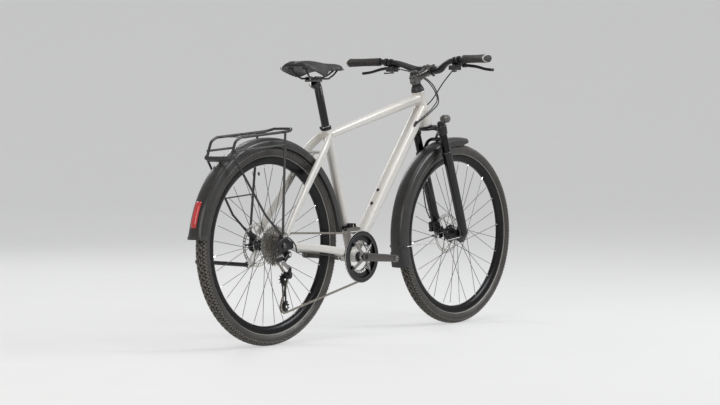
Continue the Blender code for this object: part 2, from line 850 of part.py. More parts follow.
def lower_leg(y, extra=0.0):
    r = leg_radius + extra
    profile = [(0.0120 + extra, leg_bottom), (0.0165 + extra, leg_bottom - 0.006), (r - 0.0012,
                                                                                    leg_top + 0.238),
               (r - 0.0006, leg_top + 0.02), (r + 0.0012, leg_top + 0.012), (r + 0.0012, leg_top)]
    return along_fork(profile, leg_ahead, y, 14)


def fork_lowers(paint):
    parts = []
    for side in (-1, 1):
        y = side * leg_y
        parts.append(lower_leg(y))
        tip = fork(axle_down - 0.003, axle_ahead - 0.010, side * (front_dropout_inner + 0.0045))
        parts.append(block(tip, (0.050, 0.009, 0.030), ahead_of_fork, Y))
        face = side * (front_dropout_inner + 0.008)
        parts.append(rod(front_axle + Y * face, front_axle + Y * (face + side * 0.010), 0.0085, 10))
    arch_sections = [box_section(0.014, 0.012, 0.003)] * 2 + [box_section(0.013, 0.014, 0.003)] * 4 + [
        box_section(0.014, 0.012, 0.003)] * 2
    parts.append(sweep(arch_path(), arch_sections, ahead_of_fork))
    arch_middle = fork(0.2185, 0.053)
    parts.append(rod(arch_middle, on_front_guard(arch_middle), 0.006, 8))
    bores = [along_fork([(bore_radius, leg_top - 0.02), (bore_radius, bore_end)], leg_ahead, side * leg_y, 14)
             for side in (-1, 1)]
    body = cut(joined(*parts), *bores)
    piece("fork_lowers", body, paint["black"], fork(leg_top, leg_ahead))


def front_caliper(paint):
    centre = on_front(-0.079, front_rotor_y + 0.003, 0.031)
    body = joined(block(centre, (0.036, 0.036, 0.040), Vector((1, 0, 0.25))),
                  block(centre + Vector((0.004, 0.018, 0.0)), (0.034, 0.010, 0.046), Vector((1, 0, 0.25))))
    slot = block(on_front(-0.063, front_rotor_y, 0.024), (0.050, 2 * rotor_half + 0.0024, 0.12), Vector((1, 0,
                                                                                                         0.25)))
    piece("front_brake_caliper", cut(body, slot, lower_leg(leg_y, GAP)), paint["satin"])


def rear_caliper(paint):
    lean = math.radians(22)
    outward = Vector((math.cos(lean), 0, math.sin(lean)))
    inset = 0.0031
    centre = rear_axle + outward * 0.078 + Y * (rear_rotor_y - inset)
    body = block(centre, (0.036, 0.0190, 0.042), outward)
    slot = block(centre + Y * inset - outward * 0.014, (0.042, 2 * rotor_half + 0.0024, 0.10), outward)
    piece("rear_brake_caliper", cut(body, slot), paint["satin"])


clip_angle = math.radians(185.77)


def front_mudguard(paint):
    def section(share):
        flare = 0.003 * max(0.0, (share - 0.93) / 0.07)
        depth = 0.034 if share > 0.02 else 0.018
        return mudguard_section(mudguard_half_width, mudguard_wall, depth, flare)

    body = arc_sweep(front_axle, front_crown_radius, front_guard_start, front_guard_end, front_guard_stations,
                     section)
    stays = []
    for side in (-1, 1):
        clip = front_axle + Vector((math.cos(clip_angle), 0,
                                    math.sin(clip_angle))) * (front_crown_radius - 0.0211)
        clip += Y * (side * 0.0335)
        start = clip + Vector((-0.004, -side * 0.001, 0))
        bend = on_front(-0.185, side * 0.058, -0.0265)
        end = on_front(-0.0525, side * (leg_y + 0.004), -0.009)
        stays.append(sweep([start, bend, end], circle_section(0.0021, 5)))
        stays.append(block(clip, (0.018, 0.006, 0.010)))
    piece("front_mudguard", joined(body, *stays), paint["guard"])


lamp_centre = at_head(0.1798, 0, -0.1074)


def front_lamp(paint):
    half = 0.015
    profile = [(0.0095, -half - 0.007), (0.0145, -half - 0.003), (0.0165, -half + 0.004), (0.0165,
                                                                                           half - 0.004),
               (0.0150, half), (0.0130, half), (0.0125, half - 0.005), (0, half - 0.006)]
    barrel = lathe(profile, lamp_centre, X, 14)
    foot = fork(0.2095, 0.0530)
    arm = sweep([foot, fork(0.196, 0.075), fork(0.186, 0.115), lamp_centre - Z * 0.010 - X * 0.006],
                box_section(0.013, 0.005, 0.0012))
    piece("front_lamp", joined(barrel, arm), paint["plastic"])


# Handlebar, stem and controls
spacer_top = -0.0315
stem_top = -0.0700
bar_centre_radius = 0.0159


def headset_cover():
    """The bearing cover and spacer under the stem."""
    profile = [(0.0262, -GAP), (0.0262, -0.006), (0.0205, -0.0215), (0.0180, -0.0225), (0.0180,
                                                                                        spacer_top - 0.002)]
    return lathe(profile, head_top, down_the_fork, 16)


def stem(paint):
    clamp = along_fork([(0.0190, spacer_top), (0.0190, stem_top)], 0, 0, 14)
    cap = along_fork([(0.0170, stem_top + 0.002), (0.0170, stem_top - 0.010), (0.0120, stem_top - 0.0125)], 0,
                     0, 12)
    root = fork((spacer_top + stem_top) / 2, 0.006)
    body = sweep([root, root.lerp(bar_clamp, 0.5), bar_clamp - X * 0.012],
                 [box_section(0.034, 0.036, 0.009), box_section(0.030, 0.030, 0.009), box_section(0.036,
                                                                                                  0.033, 0.009)])
    face = lathe([(0.0215, -0.021), (0.0215, 0.021)], bar_clamp, Y, 14)
    ears = block(fork((spacer_top + stem_top) / 2, -0.019), (0.008, 0.020, 0.030), ahead_of_fork, Y)
    bore = along_fork([(steerer_radius + 0.0008, 0.1), (steerer_radius + 0.0008, steerer_top - 0.001)], 0, 0,
                      12)
    hole = lathe([(bar_centre_radius + 0.0007, -0.05), (bar_centre_radius + 0.0007, 0.05)], bar_clamp, Y, 14)
    whole = joined(clamp, cap, body, face, ears, headset_cover())
    piece("stem", cut(whole, bore, hole), paint["satin"])


def bar_half(side):
    return [bar_clamp, bar_clamp + Y * side * 0.040, at_head(0.0633, side * grip_start * 0.3113, 0.0881),
            at_head(0.0438, side * grip_start * 0.4858, 0.1046), at_head(0.0333, side * grip_start * 0.6132,
                                                                         0.1131),
            at_head(0.0283, side * grip_start * 0.7783, 0.1166), at_head(0.0223, side * grip_start, 0.1201),
            at_head(-0.0067, side * (bar_half_width - 0.004), 0.1186)]


def bar_radii():
    return [bar_centre_radius, bar_centre_radius, 0.0145, 0.0118, bar_radius, bar_radius, bar_radius,
            bar_radius]


def handlebar(paint):
    left = bar_half(1)
    right = mirrored(left)
    points = list(reversed(right[1:])) + [Vector((bar_clamp.x, 0, bar_clamp.z))] + left[1:]
    radii = list(reversed(bar_radii()[1:])) + bar_radii()
    sections = [circle_section(r, 8) for r in radii]
    piece("handlebar", sweep(points, sections), paint["satin"])


def on_bar(y):
    """The bar's centre and its direction outward at this distance from the middle, on the left."""
    points = bar_half(1)
    for a, b in zip(points, points[1:]):
        if a.y <= y <= b.y:
            return a.lerp(b, (y - a.y) / (b.y - a.y)), (b - a).normalized()
    return points[-1], (points[-1] - points[-2]).normalized()


def grip(paint, side, name):
    start, way = on_bar(grip_start)
    end, way = on_bar(bar_half_width - 0.004)
    end = end + way * 0.006
    bore = bar_radius + 0.0009
    length = (end - start).length
    stations = [(0.0, 0.0168, 0.0), (0.18, 0.0155, 0.0), (0.50, 0.0160, 0.0010), (0.80, 0.0180, 0.0030), (1.0,
                                                                                                          0.0195, 0.0040)]
    bm = bmesh.new()
    loops = []
    back = Z.cross(way).normalized()
    if back.x > 0:
        back = -back
    upward = Z
    sides = 12
    for t, radius, wing in stations:
        centre = start + way * (length * t)
        loop = []
        for i in range(sides):
            angle = 2 * math.pi * (i + 0.5) / sides
            out = radius + wing * 2.4 * max(0.0, math.cos(angle)) ** 2
            tall = radius - wing * 0.6
            loop.append(bm.verts.new(centre + back * out * math.cos(angle) + upward * tall * math.sin(angle)))
        loops.append(loop)
    for t in (1.0, 0.0):
        centre = start + way * (length - 0.004 if t else 0.0)
        loops.append([bm.verts.new(centre + (back * math.cos(2 * math.pi * (i + 0.5) / sides)
                                             + upward * math.sin(2 * math.pi * (i + 0.5) / sides)) * bore)
                      for i in range(sides)])
    inner_deep, inner_mouth = loops[-2], loops[-1]
    outer = loops[:-2]
    for lower, upper in zip(outer, outer[1:]):
        faces_between(bm, lower, upper)
    bm.faces.new(outer[-1])
    faces_between(bm, outer[0], inner_mouth)
    faces_between(bm, inner_mouth, inner_deep)
    bm.faces.new(inner_deep)
    if side < 0:
        for v in bm.verts:
            v.co.y = -v.co.y
    piece(name, finished(bm), paint["rubber"])


perch_y = grip_start - 0.032


def controls(paint, side, name):
    """The clamp, brake body and shifter body on one side of the bar."""
    centre, way = on_bar(perch_y)
    inner, inner_way = on_bar(perch_y - 0.022)
    bore = bar_radius + 0.0010
    ring = lathe([(bore, -0.006), (0.0160, -0.006), (0.0160, 0.006), (bore, 0.006)], centre, way, 10,
                 ring=True)
    second = lathe([(bore, -0.006), (0.0155, -0.006), (0.0155, 0.006), (bore, 0.006)], inner, inner_way, 10,
                   ring=True)
    ahead = Vector((0.88, 0, -0.47))
    body = sweep([centre + ahead * 0.015, centre + ahead * 0.028 - Y * 0.008,
                  centre + ahead * 0.033 - Y * 0.046],
                 [box_section(0.014, 0.014, 0.003), box_section(0.018, 0.018, 0.004), box_section(0.014,
                                                                                                  0.014, 0.004)])
    pod = block(inner + Vector((0.004, -0.002, -0.027)), (0.046, 0.034, 0.020))
    neck = block(inner + Vector((0.002, 0, -0.0165)), (0.018, 0.011, 0.010))
    link = block(centre + Vector((0.010, -0.012, -0.020)), (0.018, 0.020, 0.012))
    room = block(centre + ahead * 0.036 + Y * 0.003, (0.0105, 0.030, 0.009), ahead, Y)
    bar = lathe([(bore, -0.05), (bore, 0.05)], centre, way, 10)
    whole = cut(joined(ring, second, body, neck, pod, link), room, bar)
    if side < 0:
        mirror(whole)
    piece(name, whole, paint["satin"])


def mirror(bm):
    for v in bm.verts:
        v.co.y = -v.co.y
    bmesh.ops.reverse_faces(bm, faces=bm.faces)


def brake_pivot(side):
    centre, way = on_bar(perch_y)
    place = centre + Vector((0.88, 0, -0.47)) * 0.0375 - Y * 0.002
    return Vector((place.x, side * place.y, place.z))


def brake_lever(paint, side, name):
    pivot = brake_pivot(1)
    tip = at_head(0.0538, bar_half_width - 0.023, 0.0776)
    path = [pivot - Y * 0.004, pivot + Vector((0.006, 0.020, -0.003)), pivot + Vector((0.004, 0.060, -0.008)),
            pivot.lerp(tip, 0.72) + Vector((0.003, 0, -0.002)), tip]
    sections = [box_section(0.0070, 0.007, 0.0015), box_section(0.0080, 0.012, 0.002), box_section(0.006,
                                                                                                   0.012, 0.002),
                box_section(0.006, 0.011, 0.002), box_section(0.008, 0.012, 0.003)]
    body = sweep(path, sections)
    if side < 0:
        mirror(body)
    piece(name, body, paint["silver"], brake_pivot(side))


def shift_pivot(side):
    inner, way = on_bar(perch_y - 0.022)
    place = inner + Vector((0.002, -0.002, -0.0390))
    return Vector((place.x, side * place.y, place.z))


def shift_lever(paint, side, name):
    pivot = shift_pivot(1)
    hub_disc = rod(pivot + Z * 0.0014, pivot - Z * 0.004, 0.009, 10)
    arm = sweep([pivot - Z * 0.0015, pivot + Vector((-0.014, 0.008, -0.003)), pivot + Vector((-0.027, 0.018,
                                                                                              -0.003))],
                [box_section(0.010, 0.0036, 0.001), box_section(0.009, 0.005, 0.001), box_section(0.014,
                                                                                                  0.0065, 0.0015)])
    body = joined(hub_disc, arm)
    if side < 0:
        mirror(body)
    piece(name, body, paint["plastic"], shift_pivot(side))


# Chain path: directed circles in the plane of X and Z, +1 turning anticlockwise as seen from the right side
def pitch_radius(teeth):
    return chain_pitch / (2 * math.sin(math.pi / teeth))


def flat(vector):
    return Vector((vector.x, vector.z))


def tangent(first, second):
    """Where the chain leaves one circle and meets the next. A circle is (centre, teeth, sense)."""
    (c1, n1, s1), (c2, n2, s2) = first, second
    r1 = s1 * pitch_radius(n1)
    r2 = s2 * pitch_radius(n2)
    between = c2 - c1
    angle = math.atan2(between.y, between.x) - math.asin((r2 - r1) / between.length)
    normal = Vector((-math.sin(angle), math.cos(angle)))
    return c1 - normal * r1, c2 - normal * r2


def chain_spans(circles):
    """The closed path as ('line', start, end, links) and ('arc', centre, radius, from, turn, links)."""
    spans = []
    count = len(circles)
    joins = [tangent(circles[i], circles[(i + 1) % count]) for i in range(count)]
    for i in range(count):
        centre, teeth, sense = circles[i]
        arrive = joins[i - 1][1] - centre
        leave = joins[i][0] - centre
        begin = math.atan2(arrive.y, arrive.x)
        turn = math.atan2(leave.y, leave.x) - begin
        while turn * sense < 0:
            turn += sense * 2 * math.pi
        while turn * sense > 2 * math.pi:
            turn -= sense * 2 * math.pi
        spans.append(("arc", centre, pitch_radius(teeth), begin, turn, abs(turn) * teeth / (2 * math.pi)))
        start, end = joins[i]
        spans.append(("line", start, end, (end - start).length / chain_pitch))
    return spans


def links_in(spans):
    return sum(span[-1] for span in spans)


def circles_for(cage_angle):
    guide = flat(guide_pulley)
    tension = guide + Vector((math.cos(cage_angle), math.sin(cage_angle))) * cage_length
    return [(flat(bracket), ring_teeth, 1), (flat(rear_axle), cog_teeth, 1), (guide, pulley_teeth, -1),
            (tension, pulley_teeth, 1)]


def solved_cage():
    """The cage angle, near straight down, at which the chain has a whole, even count of links."""
    middle = math.radians(-87)
    wanted = 2 * round(links_in(chain_spans(circles_for(middle))) / 2)
    low = middle - math.radians(32)
    high = middle + math.radians(32)
    for _ in range(60):
        angle = (low + high) / 2
        if (links_in(chain_spans(circles_for(angle))) - wanted) * (
                links_in(chain_spans(circles_for(high))) - wanted) > 0:
            high = angle
        else:
            low = angle
    return (low + high) / 2, wanted


cage_angle, chain_links = solved_cage()
chain_circles = circles_for(cage_angle)
chain_path = chain_spans(chain_circles)
tension_pulley = Vector((chain_circles[3][0].x, 0, chain_circles[3][0].y))


def on_chain(link):
    """Centre and direction of the chain at this many links from where it meets the large ring."""
    left = link % chain_links
    for span in chain_path:
        if left <= span[-1] or span is chain_path[-1]:
            share = left / span[-1]
            if span[0] == "line":
                place = span[1].lerp(span[2], share)
                way = (span[2] - span[1]).normalized()
            else:
                angle = span[3] + span[4] * share
                place = span[1] + Vector((math.cos(angle), math.sin(angle))) * span[2]
                sense = 1 if span[4] > 0 else -1
                way = Vector((-math.sin(angle), math.cos(angle))) * sense
            return place, way, span[0]
        left -= span[-1]
    return None


def roller_angle(circle):
    """The angle of one roller seated on a circle of the path, from which its teeth are placed."""
    centre, teeth, sense = circle
    for link in range(chain_links):
        place, way, kind = on_chain(link)
        if kind == "arc" and abs((place - centre).length - pitch_radius(teeth)) < 1e-6:
            return math.atan2((place - centre).y, (place - centre).x)
    return 0.0


def on_ring(link):
    place = on_chain(link)[0]
    return abs((place - flat(bracket)).length - pitch_radius(ring_teeth)) < 1e-6


chain_height = 0.0080
strip_inner = 0.0015
strip_outer = 0.0027
roller_bar_half = 0.0021


def chain(paint):
    """A closed ladder: a strip on each side of the teeth, joined by a bar at every second roller."""
    bm = bmesh.new()

    def station(link, offset=0.0):
        place, way, kind = on_chain(link)
        outward = Vector((way.y, -way.x))
        centre = Vector((place.x, chain_y, place.y)) + Vector((way.x, 0, way.y)) * offset
        rise = Vector((outward.x, 0, outward.y)) * (chain_height / 2)
        made = []
        for y in (-strip_outer, -strip_inner, strip_inner, strip_outer):
            made.append((bm.verts.new(centre - rise + Y * y), bm.verts.new(centre + rise + Y * y)))
        return made

    def strip(before, after, first, second):
        for i, j in ((first, first), (second, second)):
            bm.faces.new((before[i][0], before[i][1], after[j][1], after[j][0]))
        for level in (0, 1):
            bm.faces.new((before[first][level], after[first][level], after[second][level],
                          before[second][level]))

    stations = []
    link = 0
    while link < chain_links:
        kind = on_chain(link)[2]
        near = [on_chain(link + k)[2] for k in (-4, -2, 2, 4)]
        straight = kind == "line" and "arc" not in near
        every = 8 if straight else 4 if on_ring(link) else 2
        if link % every == 0:
            stations.append(("bar", station(link, -roller_bar_half), station(link, roller_bar_half)))
        elif kind == "arc" and not (on_ring(link) and link % 2):
            stations.append(("plain", station(link)))
        link += 1
    for here, after in zip(stations, stations[1:] + stations[:1]):
        if here[0] == "bar":
            a, b = here[1], here[2]
            for i in (0, 3):
                bm.faces.new((a[i][0], a[i][1], b[i][1], b[i][0]))
            for level in (0, 1):
                bm.faces.new((a[0][level], b[0][level], b[1][level], b[2][level], b[3][level], a[3][level],
                              a[2][level], a[1][level]))
            for end in (a, b):
                bm.faces.new((end[1][0], end[1][1], end[2][1], end[2][0]))
        strip(here[-1], after[1], 0, 1)
        strip(here[-1], after[1], 2, 3)
    piece("chain", finished(bm), paint["steel"], sharp=30)


def toothed(circle, half_thickness, y, bore, bore_steps):
    """A toothed ring whose gaps lie at the rollers of the chain."""
    centre, teeth, sense = circle
    radius = pitch_radius(teeth)
    first = roller_angle(circle)
    root = radius - chain_height / 2 - 0.0006
    gap = 0.0030 / radius
    outline = []
    for i in range(teeth):
        at = first + 2 * math.pi * i / teeth
        outline.append((root, at - gap))
        outline.append((root, at + gap))
        outline.append((radius + 0.0034, at + math.pi / teeth))
    bm = bmesh.new()
    rings = []
    for level in (-half_thickness, half_thickness):
        rings.append([bm.verts.new((centre.x + r * math.cos(a), y + level, centre.y + r * math.sin(a))) for r,
                      a in outline])
    holes = []
    for level in (-half_thickness, half_thickness):
        holes.append([bm.verts.new((centre.x + bore * math.cos(a), y + level, centre.y + bore * math.sin(a)))
                      for a in [first + 2 * math.pi * i / bore_steps for i in range(bore_steps)]])
    faces_between(bm, rings[0], rings[1])
    faces_between(bm, holes[0], holes[1])
    share = len(outline) // bore_steps
    for ring, hole in zip(rings, holes):
        for i in range(bore_steps):
            run = [ring[(i * share + k) % len(ring)] for k in range(share + 1)]
            bm.faces.new(run + [hole[(i + 1) % bore_steps], hole[i]])
    return finished(bm)


def annulus(centre, inner, outer, y, half, steps):
    return lathe([(inner, y - half), (outer, y - half), (outer, y + half), (inner, y + half)], centre, Y,
                 steps, ring=True)


arm_angle = math.radians(45) + crank_rest_angle
bolt_circle = 0.0560
inner_ring_y = -0.0365
guard_y = -0.0525


def bolt_places():
    return [arm_angle + math.pi / 2 * i for i in range(4)]


def chainrings(paint):
    parts = [toothed(chain_circles[0], 0.0010, chain_y, 0.0610, 22)]
    parts.append(annulus(bracket, 0.0500, pitch_radius(inner_ring_teeth) + 0.0020, inner_ring_y, 0.0010, 16))
    parts.append(annulus(bracket, 0.0800, 0.0985, guard_y, 0.0014, 26))
    for angle in bolt_places():
        way = Vector((math.cos(angle), 0, math.sin(angle)))
        place = bracket + way * bolt_circle
        parts.append(rod(place + Y * (inner_ring_y + 0.0005), place + Y * (guard_y - 0.0017), 0.0085, 6))
        parts.append(block(bracket + way * 0.071 + Y * guard_y, (0.026, 0.0020, 0.010), way, Y))
    piece("chainrings", joined(*parts), paint["satin"], bracket)


def crank_arm_shape(side):
    """The right arm, or its mirror turned half round for the left."""
    way = Vector((math.cos(crank_rest_angle), 0, math.sin(crank_rest_angle))) * (-side)
    near = side * 0.0690
    far = side * 0.0800
    start = bracket + Y * near
    middle = bracket + way * (crank_length * 0.5) + Y * (near + far) / 2
    end = bracket + way * crank_length + Y * far
    sections = [box_section(0.012, 0.032, 0.003), box_section(0.012, 0.030, 0.003), box_section(0.011, 0.027,
                                                                                                0.003)]
    inner = side * 0.0622
    boss = rod(bracket + Y * inner, bracket + Y * side * 0.0755, 0.0170, 12)
    eye = rod(end - Y * side * 0.0060, end + Y * side * 0.0075, 0.0145, 12)
    return [sweep([start, middle, end], sections), boss, eye]


def crank_right(paint):
    parts = crank_arm_shape(-1)
    for angle in bolt_places():
        way = Vector((math.cos(angle), 0, math.sin(angle)))
        root = bracket + way * 0.012 - Y * 0.0655
        tip = bracket + way * (bolt_circle + 0.007) - Y * 0.0574
        parts.append(sweep([root, tip], [box_section(0.008, 0.016, 0.002), box_section(0.0050, 0.010, 0.002)],
                           way.cross(Y)))
    parts.append(rod(bracket - Y * 0.0640, bracket + Y * 0.0620, axle_radius, 12))
    piece("crank_arm_right", joined(*parts), paint["black"], bracket)


def crank_left(paint):
    piece("crank_arm_left", joined(*crank_arm_shape(1)), paint["black"], bracket)


cog_counts = (11, 13, 15, 17, 19, 22, 25, 28, 32, 36)
cog_spacing = 0.00395


def cassette(paint):
    engaged = cog_counts.index(cog_teeth)
    bore = freehub_radius + 0.0012
    profile = []
    edge = 0.0009
    for i, teeth in enumerate(cog_counts):
        y = chain_y + (i - engaged) * cog_spacing
        radius = pitch_radius(teeth) + 0.0022
        low = y - edge if i == 0 or i == engaged + 1 else y - cog_spacing / 2
        high = y + edge if i in (len(cog_counts) - 1, engaged - 1) else y + cog_spacing / 2
        if i == engaged:
            groove = pitch_radius(teeth) - 0.0105
            low = y - cog_spacing + edge
            high = y + cog_spacing - edge
            radius = groove
        profile.append((radius, low))
        profile.append((radius, high))
    first_y = profile[0][1]
    last_y = profile[-1][1]
    body = lathe([(bore, first_y)] + profile + [(bore, last_y)], rear_axle, Y, 16, ring=True)
    teeth_ring = toothed(chain_circles[1], 0.0009, chain_y, pitch_radius(cog_teeth) - 0.0125, 22)
    piece("cassette", joined(body, teeth_ring), paint["steel"], rear_axle)


# Derailleurs
pulley_bore = 0.0028


def pulley(paint, circle, name):
    centre = Vector((circle[0].x, 0, circle[0].y))
    body = toothed(circle, 0.0010, chain_y, pulley_bore, 11)
    piece(name, body, paint["plastic"], centre + Y * chain_y)


cage_half = 0.0052


def rear_cage(paint):
    """The knuckle, the two cage plates and the pulley pins."""
    parts = []
    guide = Vector((guide_pulley.x, 0, guide_pulley.z))
    way = (tension_pulley - guide).normalized()
    across = way.cross(Y).normalized()
    outline = [(-0.009, -0.011), (0.006, -0.014), (0.020, -0.009), (cage_length - 0.016, -0.0085),
               (cage_length + 0.004, -0.011),
               (cage_length + 0.011, 0.0), (cage_length + 0.004, 0.011), (cage_length - 0.016,
                                                                          0.0085), (0.020, 0.009),
               (0.006, 0.012), (-0.009, 0.010)]
    outer = chain_y - cage_half - 0.0008
    inner = chain_y + cage_half + 0.0008
    for y in (outer, inner):
        parts.append(plate_between(outline, guide + Y * y, way, across, 0.0016))
    for centre in (guide, tension_pulley):
        parts.append(rod(centre + Y * (outer - 0.0016), centre + Y * (inner + 0.0010), pulley_bore - GAP, 8))
    knuckle = Vector((guide.x + 0.006, 0, guide.z + 0.014))
    parts.append(rod(knuckle + Y * (outer + 0.0002), knuckle + Y * (outer - 0.022), 0.0130, 12))
    ear = link_far + link_way * 0.0006
    root = Vector((knuckle.x, -0.0650, knuckle.z))
    parts.append(sweep([ear, ear + link_way * 0.006, ear + link_way * 0.010 + Y * 0.004, root],
                       [box_section(0.011, 0.016, 0.002)] * 3 + [box_section(0.012, 0.018, 0.002)]))
    piece("rear_derailleur_cage", joined(*parts), paint["satin"], guide + Y * chain_y)


link_pivot = on_rear(-0.016, -0.0856, -0.059)
link_far = on_rear(0.014, -0.0856, -0.081)
link_way = (link_far - link_pivot).normalized()
link_axis = Vector((-link_way.z, 0, link_way.x))
link_hook = link_pivot + link_axis * 0.0112


def rear_derailleur_base(paint):
    bolt = Vector((hanger.x, 0, hanger.z))
    face = -(dropout_inner + dropout_thickness) - GAP
    drum = rod(bolt + Y * face, bolt + Y * (face - 0.014), 0.0120, 12)
    arm = sweep([bolt + Y * (face - 0.007), (bolt + Y * (face - 0.007) + link_hook) / 2, link_hook],
                [box_section(0.012, 0.018, 0.003), box_section(0.011, 0.018, 0.003), box_section(0.009, 0.016,
                                                                                                 0.002)])
    stop = block(on_rear(-0.0285, face - 0.006, -0.0472), (0.033, 0.0060, 0.014), X + Z * 0.2)
    piece("rear_derailleur_base", joined(drum, arm, stop), paint["satin"])


def rear_derailleur_link(paint):
    body = sweep([link_pivot, link_far], box_section(0.0045, 0.016, 0.001))
    pin = rod(link_pivot + link_axis * 0.0085, link_pivot - link_axis * 0.0095, 0.0028, 8)
    piece("rear_derailleur_link", joined(body, pin), paint["silver"], link_pivot)


clamp_height = 0.114
front_cage_pivot = at_bracket(-0.0194, -0.0345, clamp_height + 0.010)


def front_derailleur(paint):
    base = seat(clamp_height)
    radius = seat_tube_radius + GAP
    ring = lathe([(radius, -0.007), (radius + 0.0045, -0.007), (radius + 0.0045, 0.007), (radius, 0.007)],
                 base,
                 up_the_seat, 20, ring=True)
    arm = block(at_bracket(-0.0344, -0.0240, clamp_height + 0.004), (0.024, 0.010, 0.018))
    piece("front_derailleur_body", joined(ring, arm), paint["satin"])


def front_derailleur_cage(paint):
    outer_y = chain_y - 0.0080
    inner_y = chain_y + 0.0060
    outer = [(-0.088, 0.0975), (-0.060, 0.0975), (-0.030, 0.0990), (-0.010, 0.1022), (-0.008, 0.1105),
             (-0.030, 0.1135), (-0.060, 0.1125), (-0.086, 0.1080)]
    inner = [(-0.090, 0.0985), (-0.060, 0.0975), (-0.030, 0.0965), (-0.010, 0.0965), (-0.007, 0.1070),
             (-0.030, 0.1135), (-0.060, 0.1125), (-0.088, 0.1085)]
    middle = (outer_y + inner_y) / 2
    parts = [plate(bracket, outer, outer_y - 0.0007, outer_y + 0.0007),
             plate(bracket, inner, inner_y - 0.0007, inner_y + 0.0007)]
    parts.append(block(at_bracket(-0.032, middle, 0.1125), (0.024, inner_y - outer_y, 0.0030)))
    parts.append(block(at_bracket(-0.083, middle, 0.1055), (0.005, inner_y - outer_y, 0.0045)))
    link = [at_bracket(-0.015, inner_y, 0.107), at_bracket(-0.0164, -0.033, 0.114),
            front_cage_pivot - X * 0.0022 + Z * 0.001]
    parts.append(sweep(link, box_section(0.010, 0.006, 0.001), X))
    piece("front_derailleur_cage", joined(*parts), paint["steel"], front_cage_pivot)


# Saddle and seatpost
saddle_stations = (
    (-0.3315, 0.050, 0.712, 0.702), (-0.327, 0.064, 0.719, 0.699), (-0.313, 0.0735, 0.7245, 0.692),
    (-0.288, 0.0780, 0.7267, 0.682), (-0.258, 0.0765, 0.7262, 0.672), (-0.228, 0.0680, 0.7245, 0.6655),
    (-0.203, 0.0560, 0.7228, 0.6740), (-0.178, 0.0430, 0.7213, 0.6855), (-0.150, 0.0330, 0.7206, 0.6910),
    (-0.113, 0.0265, 0.7208, 0.6935), (-0.083, 0.0240, 0.722, 0.6950), (-0.065, 0.0195, 0.719, 0.6975),
    (-0.0575, 0.0120, 0.713, 0.7035))


def pad_section(half, top, low, wall):
    crown = top - low
    over = [(-half * 0.97, low), (-half, low + crown * 0.30), (-half * 0.96, low + crown * 0.62),
            (-half * 0.80, low + crown * 0.88),
            (-half * 0.45, top), (0.0, top - 0.0025), (half * 0.45, top), (half * 0.80, low + crown * 0.88),
            (half * 0.96, low + crown * 0.62), (half, low + crown * 0.30), (half * 0.97, low)]
    under = [(half * 0.97 - wall, low + 0.001), (half * 0.70, low + crown * 0.44), (0.0, low + crown * 0.50),
             (-half * 0.70, low + crown * 0.44), (-half * 0.97 + wall, low + 0.001)]
    return over + under


def saddle_pad(paint):
    points = [Vector((x, 0, 0)) for x, half, top, low in saddle_stations]
    sections = [[(-a, b) for a, b in pad_section(half, top, low, min(0.010, half * 0.17))]
                for x, half, top, low in saddle_stations]
    bm = bmesh.new()
    loops = [[bm.verts.new(bracket + Vector((p.x, a, b))) for a, b in s] for p, s in zip(points, sections)]
    for lower, upper in zip(loops, loops[1:]):
        faces_between(bm, lower, upper)
    bm.faces.new(loops[0])
    bm.faces.new(loops[-1])
    piece("saddle_pad", finished(bm), paint["cover"], sharp=60)


def saddle_shell(paint):
    """The base under the padding with its two rails."""
    loops = []
    bm = bmesh.new()
    for x, half, top, low in saddle_stations[1:-1]:
        crown = top - low
        roof = low + crown * 0.44
        middle = low + crown * 0.50
        w = half * 0.66
        loop = [(-w, roof - 0.0006), (0, middle - 0.0006), (w, roof - 0.0006), (w, roof - 0.0036), (0,
                                                                                                    middle - 0.0042),
                (-w, roof - 0.0036)]
        loops.append([bm.verts.new(bracket + Vector((x, a, b))) for a, b in loop])
    for lower, upper in zip(loops, loops[1:]):
        faces_between(bm, lower, upper)
    bm.faces.new(loops[0])
    bm.faces.new(loops[-1])
    parts = [finished(bm)]
    for side in (-1, 1):
        path = [at_bracket(-0.303, side * 0.034, 0.7005), at_bracket(-0.287, side * 0.032, 0.681),
                at_bracket(-0.258, side * 0.0235, 0.664), at_bracket(-0.163, side * 0.0220, 0.664),
                at_bracket(-0.118, side * 0.0140, 0.679), at_bracket(-0.083, side * 0.0075, 0.704)]
        parts.append(sweep(path, circle_section(0.0035, 6)))
    piece("saddle_shell", joined(*parts), paint["black"])


post_bottom = 0.322


def seatpost(paint):
    top = at_bracket(-0.1915, 0, 0.6376)
    length = (top - seat(post_bottom)).length
    post = lathe([(seatpost_radius, 0), (seatpost_radius, length - 0.004), (0.0125, length)],
                 seat(post_bottom),
                 up_the_seat, 16)
    head = sweep([top - Vector((-0.004, 0, 0.020)), at_bracket(-0.201, 0, 0.638), at_bracket(-0.213, 0,
                                                                                             0.652)],
                 [box_section(0.024, 0.024, 0.005), box_section(0.030, 0.034, 0.006), box_section(0.034,
                                                                                                  0.056, 0.006)], X)
    rail_low = 0.6640 - 0.0035 - GAP
    cradle = block(at_bracket(-0.216, 0, rail_low - 0.005), (0.044, 0.052, 0.010))
    upper = block(at_bracket(-0.216, 0, 0.664), (0.030, 0.034, 0.0100))
    bolts = [rod(at_bracket(x, 0, 0.636), at_bracket(x, 0, 0.6665), 0.0035, 8) for x in (-0.2330, -0.1990)]
    trim = block(at_bracket(-0.216, 0, rail_low + 0.05), (0.2, 0.2, 0.1))
    lower = cut(joined(post, head), trim)
    piece("seatpost", joined(lower, cradle, upper, *bolts), paint["black"])


# Stand
stand_folded = Vector((-1, -0.085, 0.095)).normalized()
stand_down = Vector((-0.10, 0.33, -0.94)).normalized()
stand_axis = stand_folded.cross(stand_down).normalized()
stand_length = 0.300


